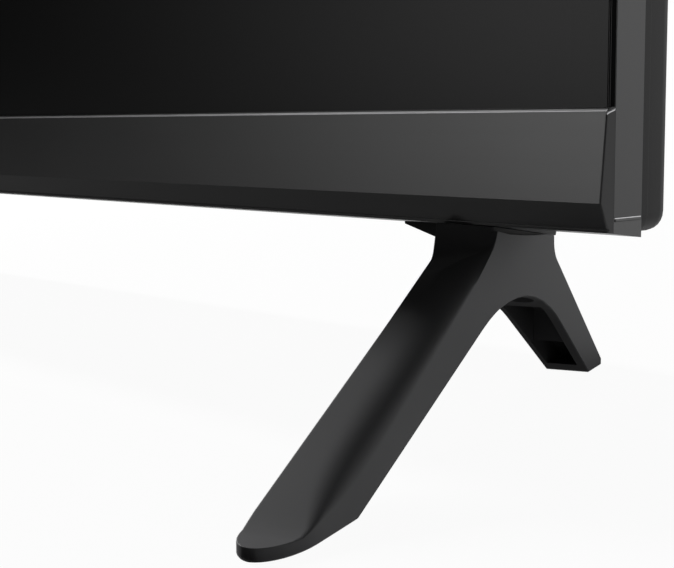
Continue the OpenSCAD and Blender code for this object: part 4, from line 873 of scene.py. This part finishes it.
SPLAY = math.radians(20.2)
NECK = Vector((319.3, 21.5327, 0)) * MM
FRONT_ANGLE, BACK_ANGLE = math.radians(23.7), math.radians(36.3)
FRONT_SLOPE, BACK_SLOPE = math.tan(FRONT_ANGLE), math.tan(BACK_ANGLE)
ARCH_FRONT, ARCH_REAR = math.tan(math.radians(20.8)), math.tan(math.radians(32.6))
TOE_REACH, TOE_MIDDLE, TOE_ROUND = 113.3, 101.5, 11.8
HEEL, REAR_INNER, REAR_END = 87.3, 51.5, 65.5
SOLE_Z, TOE_Z, LEG_TOP = 0.12, 2.3, 48.4
OUTER, FOOT_WALL = 5.7, 2.2
# Places of the two screws along the neck, the height of their heads' seats, and the pads under toe and heel
FOOT_SCREWS, SCREW_SEAT = (-3.5, 9.5), 30
PAD_RADIUS, PAD_TALL, HEEL_PAD = 3.5, 1.2, ((-2.3, 55.75), (3.2, 61.25))
INNER_PLAN = ((TOE_REACH, -5.7), (50, -5.7), (19.7, -7.8), (-19.7, -7.8), (-REAR_END, -4.8))
# Round along the leg's outer upper edge, by distance ahead of the neck's middle: its drop down the wall, its reach
# over the top, and the angle in degrees at which it leaves the wall. Then the plain round along the inner edge.
OUTER_DROP = ((TOE_REACH, 0.2), (108, 0.2), (104, 0.4), (100, 1.1), (95, 2.4), (88, 3.5), (78, 3.8), (60, 3.2),
              (40, 2.2), (31, 1.5), (26.9, 0.9), (24.5, 0.5), (22.1, 0.2), (19, 0.15), (-REAR_END, 0.25))
OUTER_OVER = ((TOE_REACH, 0.2), (108, 0.3), (104, 1.2), (100, 3.2), (95, 5.0), (88, 6.2), (78, 7.0), (60, 8.6),
              (40, 9.6), (31, 8.2), (26.9, 5.2), (24.5, 2.6), (22.1, 0.3), (19, 0.15), (-REAR_END, 0.25))
OUTER_START = ((TOE_REACH, 0), (35, 0), (31, 10), (26.9, 36), (22.1, 50), (19, 45), (18, 0), (-REAR_END, 0))
INNER_ROUND = ((TOE_REACH, 0.2), (106, 0.4), (60, 0.5), (20, 0.4), (-REAR_END, 0.4))
SOLE_ROUND = 0.25
ROUND_STEPS = 12
# The rear leg ends here, short of where its faces meet
REAR_TIP = 63.0
# Largest shares of the leg's height and width that the rounds may take up
DROP_SHARE, WIDTH_SHARE, OVER_SHARE, INNER_SHARE = 0.75, 0.45, 0.68, 0.6


def front_face(u):
    return LEG_TOP - u * FRONT_SLOPE


def back_face(u):
    return SOLE_Z + (REAR_END + u) * BACK_SLOPE


def blend_at(u, stops):
    """Straight interpolation through (u, value) stops with u falling."""
    for (u0, v0), (u1, v1) in zip(stops, stops[1:]):
        if u >= u1:
            return v0 + (v1 - v0) * min(max((u0 - u) / (u0 - u1), 0), 1)
    return stops[-1][1]


def toe_share(u):
    return math.sqrt(max(1 - ((u - TOE_MIDDLE) / TOE_ROUND) ** 2, 0)) if u > TOE_MIDDLE else 1


def local(x, y, z):
    return Vector((x, y, z)) * MM


def foot_side(shoulder, bend):
    """Side outline of the foot. Its two sides bend differently where the leg leaves the neck."""
    peak = (HEEL * ARCH_FRONT - REAR_INNER * ARCH_REAR) / (ARCH_FRONT + ARCH_REAR)
    return rounded([
        (-TOE_REACH, SOLE_Z, 0), (-TOE_REACH, TOE_Z, 0), (-105.5, TOE_Z + 0.05, 6), (-50, front_face(50), 0),
        bend, shoulder, (19.1, 47, 0), (19.7, back_face(-19.7), 6), (REAR_END, SOLE_Z, 0.8),
        (REAR_INNER, SOLE_Z, 0), (-peak, (HEEL - peak) * ARCH_FRONT + SOLE_Z, 60), (-HEEL, SOLE_Z, 0),
    ])


INNER_SIDE = foot_side((-18.1, 47, 0), (-22.4, 36.3, 4))
OUTER_SIDE = foot_side((-17.9, 47, 0), (-20.9, front_face(20.9), 8))


def heights_at(u, side):
    """Lowest and highest point of a side outline at a distance ahead of the neck's middle."""
    found = []
    for here, there in zip(side, side[1:] + side[:1]):
        if here.x != there.x and (here.x + u) * (there.x + u) <= 0:
            found.append(here.y + (there.y - here.y) * (-u - here.x) / (there.x - here.x))
    return min(found), max(found)


def soft_round(start):
    """A quarter round that begins at an angle and ends gently, from the wall (0, -1) to the top (-1, 0)."""
    over, rise = 0.0, 0.0
    points = [(over, rise)]
    for k in range(ROUND_STEPS):
        t = (k + 0.5) / ROUND_STEPS
        turn = math.radians(start + (90 - start) * t * t * (3 - 2 * t))
        over -= math.sin(turn)
        rise += math.cos(turn)
        points.append((over, rise))
    return [(a / -over, b / rise - 1) for a, b in points]


def foot_section(u):
    share = toe_share(u)
    outer, inner = OUTER * share, blend_at(u, INNER_PLAN) * share
    low, high_out = heights_at(u, OUTER_SIDE)
    high_in = heights_at(u, INNER_SIDE)[1]
    room = min((high_out - low) * DROP_SHARE, (outer - inner) * WIDTH_SHARE)
    drop = min(blend_at(u, OUTER_DROP), room)
    over = min(blend_at(u, OUTER_OVER), (outer - inner) * OVER_SHARE)
    small = min(blend_at(u, INNER_ROUND), room * INNER_SHARE)
    edge = min(SOLE_ROUND, room / 2)
    points = [(inner + edge, low), (outer - edge, low), (outer, low + edge)]
    points += [(outer + a * over, high_out + b * drop) for a, b in soft_round(blend_at(u, OUTER_START))]
    points += [(inner - a * small, high_in + b * small) for a, b in reversed(soft_round(0))]
    points.append((inner, low + edge))
    return [local(x, -u, z) for x, z in points]


def foot_stations():
    toe = [TOE_MIDDLE + TOE_ROUND * math.sin(math.radians(a)) for a in (88, 83, 77, 70, 62, 53, 43, 33, 22, 11, 0)]
    leg = [99, 96, 93, 90, HEEL] + [84 - 4 * k for k in range(12)]
    bend = [37 - 0.8 * k for k in range(11)] + [28.4 - 0.4 * k for k in range(27)]
    neck = [17.7, 12, 6, 0, -6, -12, -18.6]
    heel = [-19, -19.2, -19.35, -19.5, -19.65, -19.9, -20.3, -20.9, -21.6, -22.4, -23.4, -25, -28, -32, -37, -42, -47,
            -REAR_INNER, -55, -58, -60, -61.2, -62.1, -62.5, -62.9, -REAR_TIP]
    return toe + leg + bend + neck + heel


def trim_top(piece, gap):
    """Cuts a piece in the foot's frame along the cabinet's sloping underside, less a gap."""
    level = Matrix.Rotation(-SPLAY, 3, "Z")
    slice_off(piece, level @ (place(0, -LIP_OUT, BASE - gap) - NECK), level @ UNDER_NORMAL)


def make_foot():
    foot = loft("right_foot_shell", [foot_section(u) for u in foot_stations()])
    trim_top(foot, 0.15)
    hollow_foot(foot)
    return foot


def hollow_foot(foot):
    """Opens the legs from below, as the mould does, and leaves the shadow gap under the cover."""
    front_drop, rear_drop = FOOT_WALL / math.cos(FRONT_ANGLE), FOOT_WALL / math.cos(BACK_ANGLE)
    roof = front_face(22) - front_drop
    front_room = ((-14, 3), (-14, roof - 2), (-22, roof - 2), (-(LEG_TOP - front_drop - 3) / FRONT_SLOPE, 3))
    carve(foot, prism("front_room", [local(-3.5, y, z) for y, z in front_room], local(6, 0, 0)))
    roof = back_face(-23) - rear_drop
    end = REAR_END - (2.4 + rear_drop - SOLE_Z) / BACK_SLOPE
    rear_room = ((17, 2.4), (end, 2.4), (23, roof), (17, roof))
    room = prism("rear_room", [local(-3.4, y, z) for y, z in rear_room], local(6.9, 0, 0))
    edit(room)
    mesh = bmesh.from_edit_mesh(room.data)
    for corner in [v for v in mesh.verts if v.co.x < 0]:
        corner.co.x = (blend_at(-corner.co.y / MM, INNER_PLAN) + 1.5) * MM
    bmesh.update_edit_mesh(room.data)
    carve(foot, settle(room))
    carve(foot, slab("rib", local(-6.2, 38.4, 9.8), local(3.9, 39.6, 18.6)), "UNION")
    for y in FOOT_SCREWS:
        carve(foot, drum("bore", 2.15 * MM, local(0, y, 0), local(0, y, 50)))
        carve(foot, drum("seat", 4 * MM, local(0, y, 0), local(0, y, SCREW_SEAT)))
    carve(foot, drum("toe_pocket", 3.6 * MM, local(0, -TOE_MIDDLE, -1), local(0, -TOE_MIDDLE, 1.25)))
    carve(foot, slab("rear_pocket", local(-2.4, 55.65, -1), local(3.3, 61.35, 1.25)))
    gap = ((-23, 42.3), (-12.1, 40.5), (-0.9, 39.4), (8.6, 38.75), (18.8, 38.2), (26, 38), (26, 50), (-23, 50))
    carve(foot, prism("shadow_gap", [local(4.4, y, z) for y, z in gap], local(3, 0, 0)))


def make_neck_painted_shadows():
    """Near-black strips in the gap between each neck and the cover's seat: painted shadow, a dark sheet where there is
    only shade.
    """
    gap = ((-19.6, 41.8), (-12.1, 40.55), (-0.9, 39.45), (8.6, 38.8), (19.0, 38.25), (19.0, 46), (-18.3, 46))
    # Painted shadow: this strip stands in for the shade in the gap above the neck's outer wall
    strip = prism("gasket", [local(4.42, y, z) for y, z in gap], local(0.14, 0, 0))
    trim_top(strip, 0.12)
    soften(strip, 0.04, 1)
    dress(both_feet("neck_painted_shadows", strip), SEAL_AND_SHADOW_BLACK)


def foot_matrix(side):
    stand = Matrix.Translation(NECK) @ Matrix.Rotation(SPLAY, 4, "Z")
    return stand if side > 0 else Matrix.Scale(-1, 4, (1, 0, 0)) @ stand


def both_feet(name, piece):
    """Puts a piece made in the foot's frame at both feet, as one."""
    left = twin(piece, name, foot_matrix(-1))
    return joined(name, [move(piece, foot_matrix(1)), left])


right_foot = make_foot()
left_foot = twin(right_foot, "left_foot_shell", foot_matrix(-1))
move(right_foot, foot_matrix(1))
dress(smooth(right_foot, 30), FOOT_GRAIN, ["right_foot"])
dress(smooth(left_foot, 30), FOOT_GRAIN, ["left_foot"])
make_neck_painted_shadows()


# Small pieces of the feet

def cross_head(name, radius, shank, head_h, length):
    """A round-headed cross screw that stands upright, its head's seat at the origin and its shank upwards."""
    head = drum(name, radius, Vector((0, 0, -head_h)), Vector((0, 0, 0)))
    edit(head)
    pick(head, "edges", lambda edge: middle(edge).z < -head_h * 0.9)
    bpy.ops.mesh.bevel(offset=head_h * 0.4, segments=3)
    arm, width = radius * 0.62, radius * 0.13
    for x, y in ((arm, width), (width, arm)):
        carve(head, slab("recess", Vector((-x, -y, -head_h * 2)), Vector((x, y, -head_h * 0.45))))
    bar = drum("shank", shank, Vector((0, 0, -head_h * 0.2)), Vector((0, 0, length)), sides=24)
    soften(bar, 0.15 * shank / MM, 1)
    return smooth(joined(name, [head, bar]))


def make_foot_screws():
    screws = []
    for y in FOOT_SCREWS:
        screw = cross_head("foot_screw", 3.6 * MM, 1.95 * MM, 2.6 * MM, 23 * MM)
        screws.append(move(screw, Matrix.Translation(local(0, y, SCREW_SEAT))))
    dress(smooth(both_feet("foot_screw_set", joined("foot_screw", screws))), SCREW_STEEL,
          ["foot_screws"])


def make_foot_pads():
    toe = drum("pad", PAD_RADIUS * MM, local(0, -TOE_MIDDLE, 0), local(0, -TOE_MIDDLE, PAD_TALL))
    heel = slab("pad", local(*HEEL_PAD[0], 0), local(*HEEL_PAD[1], PAD_TALL))
    for pad in (toe, heel):
        dish(pad)
        soften(pad, 0.2, 2)
    dress(smooth(both_feet("foot_pad_set", joined("pad", [toe, heel]))), PAD_RUBBER, ["foot_pads"])


make_foot_screws()
make_foot_pads()


# Rear cover

COVER_WALL = 2.2
BACK_D, HOUSING_D = 40.15, 78.15
# Rings of the cover and of its housing: half width, lowest and highest point, depth
COVER_RINGS = ((359.6, 41.8, 469.6, 9.35), (359.6, 41.8, 469.6, 11.85), (359.0, 42.2, 469.0, 11.95),
               (359.0, 42.2, 469.0, 16.9), (358.6, 42.3, 468.6, 18.9), (357.6, 42.4, 467.6, 20.5),
               (356.0, 42.5, 466.0, 21.5), (318.0, 44.0, 427.0, BACK_D))
HOUSING_RINGS = ((255.0, 44.5, 336.5, 36.15), (225.0, 52.0, 306.5, HOUSING_D))
# Bays for the sockets: side, lowest and highest point
BAYS = ((-1, 103, 263), (1, 153, 203))
BAY_X, BAY_OUT, BAY_D = 205.0, 262, 40.75
# Cut-outs in the bay's inner wall: side, height of the middle, height of the cut, rear end of the socket
SOCKET_D = 41.05
SOCKETS = ((-1, 240, 15.4, 48.55), (-1, 216, 15.4, 48.55), (-1, 192, 14.6, 48.75), (-1, 164, 16, 55.05),
           (1, 178, 22, 55.55))
ANTENNA_D, ANTENNA_Z = 49.55, 128
# Rows of slots: count, pitch, middle, then the depths and the heights between which they cut
SLOT = 2.6
SLOT_ROWS = [(45, 7, 0, BACK_D + COVER_WALL, HOUSING_D - COVER_WALL, 308.5, 330.3), (17, 7, 0, 49.15, 71.55, 42, 56.3)]
SLOT_ROWS += [(7, 3.8, side * 150, 45.65, 66.65, 42, 56.4) for side in SIDES]
WELLS = [(side * 294.8, z) for side in SIDES for z in (167.1, 285.95, 404.8)] + [(0, 404.8)]
POSTS = [(x, z) for x in (-50, 50) for z in (193, 293)]
WELL_FLOOR = 36.15


def ring_at(half, low, high, d):
    corners = rounded([(-half, low, 4), (half, low, 4), (half, high, 4), (-half, high, 4)])
    return [place(x, d, z) for x, z in corners]


def shrunk(rings, front):
    """Inner rings, a wall's thickness inside the outer ones."""
    inner = [(half - COVER_WALL, low + COVER_WALL, high - COVER_WALL, d) for half, low, high, d in rings]
    inner[0] = (*inner[0][:3], front)
    inner[-1] = (*inner[-1][:3], rings[-1][3] - COVER_WALL)
    return inner


def bay_room(side, low, high, wall):
    return side_slab("bay", side, BAY_X - wall, BAY_OUT, BAY_D - wall, HOUSING_D + 4, low - wall, high + wall)


def cover_form(name, cover, housing, wall=0.0):
    form = loft(name, [ring_at(*ring) for ring in cover])
    carve(form, loft("housing", [ring_at(*ring) for ring in housing]), "UNION")
    if not wall:
        soften(form, 1.3, 3)
    for side, low, high in BAYS:
        carve(form, bay_room(side, low, high, wall))
    return form


def slot_row(count, pitch, middle_x, d0, d1, z0, z1):
    first = middle_x - (count - 1) / 2 * pitch
    return row(slab("slot", place(first - SLOT / 2, d0, z0), place(first + SLOT / 2, d1, z1)), count, pitch)


def socket_cut(side, z, tall, end):
    half = tall / 2 + 0.5
    return side_slab("socket_cut", side, BAY_X - 4, BAY_X + 2, SOCKET_D, end + 0.5, z - half, z + half)


def cover_cuts():
    cuts = [slot_row(*slots) for slots in SLOT_ROWS] + [socket_cut(*socket) for socket in SOCKETS]
    cuts.append(drum("antenna_cut", 5.5 * MM, place(-BAY_X - 2, ANTENNA_D, ANTENNA_Z),
                     place(-BAY_X + 4, ANTENNA_D, ANTENNA_Z), TO_SIDE))
    cuts += [drum("well", 5 * MM, place(x, WELL_FLOOR, z), place(x, 42, z), TO_BACK) for x, z in WELLS]
    cuts += [drum("well_bore", 1.75 * MM, place(x, 30, z), place(x, WELL_FLOOR + 0.5, z), TO_BACK) for x, z in WELLS]
    cuts += [drum("post_hole", 6.5 * MM, place(x, 70, z), place(x, 82, z), TO_BACK) for x, z in POSTS]
    return cuts


def make_cover():
    cover = cover_form("cover_shell", COVER_RINGS, HOUSING_RINGS)
    room = cover_form("room", shrunk(COVER_RINGS, 9.0), shrunk(HOUSING_RINGS, 33.0), COVER_WALL)
    for x, z in WELLS:
        carve(room, drum("boss", 7.2 * MM, place(x, 31, z), place(x, 42, z), TO_BACK))
    carve(cover, room)
    for cut in cover_cuts():
        carve(cover, cut)
    dress(smooth(cover), COVER_GRAIN, ["rear_cover"])


def make_foot_bosses():
    """The cover's seats above the necks, with the ramp that shows beside each neck."""
    turn = Matrix.Rotation(SPLAY, 3, "Z")
    seat_front, seat_back = 9.5, 39.5
    side = ((-19.7, 36), (24.8, 36), (26.5, 38.2), (26.5, 46.3), (-19.7, 46.3))
    seat = prism("seat", [local(-12, y, z) for y, z in side], local(16.2, 0, 0))
    move(seat, foot_matrix(1))
    slice_off(seat, place(0, -LIP_OUT, BASE), -UNDER_NORMAL)
    slice_off(seat, place(0, seat_front, 0), Vector((0, -1, 0)))
    slice_off(seat, place(0, seat_back + 4, 0), Vector((0, 1, 0)))
    section = ((297, 46.2), (297, 41.1), (312, 37.1), (318, 36.4), (330, 36.4), (330, 46.2))
    ramp = prism("ramp", [place(x, seat_front, z) for x, z in section], place(0, seat_back - seat_front - FRONT, 0))
    slice_off(ramp, NECK + turn @ local(-8.0, 0, 0), turn @ Vector((1, 0, 0)))
    slice_off(ramp, NECK + turn @ local(0, 20.7, 0), turn @ Vector((0, 1, 0)))
    carve(ramp, seat, "UNION")
    soften(ramp, 0.15, 2)
    left = twin(ramp, "left_seat", Matrix.Scale(-1, 4, (1, 0, 0)))
    dress(smooth(joined("foot_seats", [ramp, left])), SEAT_BLACK)


def make_cover_screws():
    master = cross_head("cover_screw", 3.6 * MM, 1.6 * MM, 2.2 * MM, 6 * MM)
    move(master, Matrix.Rotation(math.pi / 2, 4, "X"))
    copies = [twin(master, "cover_screw_copy", Matrix.Translation(place(x, WELL_FLOOR, z))) for x, z in WELLS]
    bpy.data.meshes.remove(master.data)
    dress(smooth(joined("cover_screw_set", copies)), SCREW_BLACK, ["cover_screws"])


make_cover()
make_foot_bosses()
make_cover_screws()


# Key, remote eye and the contacts in the sockets

# Tongues: height, depth and half their length
TONGUES = ((240, 45.05, 5.6), (216, 45.05, 5.6), (192, 44.6, 5.0))
# Left and right end, front, back, lowest point, seat, top and rim
KEY_SIZES = (-76, -64, 2.2, 6.2, 41.74, 45.5, 46.5, 1.2)
EYE_SIZES = (-8, 8, 2.4, 6.0, 40.6, 45.2, 46.4, 1.4)


def flanged(name, x0, x1, front, back, low, seat, top, rim):
    """A block with a rim above, as it snaps in from inside the chin."""
    block = slab(name, place(x0, front, low), place(x1, back, seat + 0.1))
    dish(block)
    soften(block, 0.25, 3)
    collar = soften(slab("collar", place(x0 - rim, front - rim, seat), place(x1 + rim, back + rim, top)), 0.2, 2)
    return smooth(joined(name, [block, collar]))


def make_contacts():
    """Tongues in the picture and data sockets."""
    tongues = []
    for z, d, half in TONGUES:
        tongue = slab("tongue", place(-203.2, d - 0.5, z - half), place(-194, d + 0.5, z + half))
        tongues.append(soften(tongue, 0.2, 2))
    dress(smooth(joined("socket_tongues", tongues)), CONTACT_GOLD)


dress(flanged("power_key_cap", *KEY_SIZES), KEY_SATIN, ["power_key"], "power_key")
dress(flanged("remote_eye", *EYE_SIZES), LENS_DARK, ["infrared_lens"])
make_contacts()
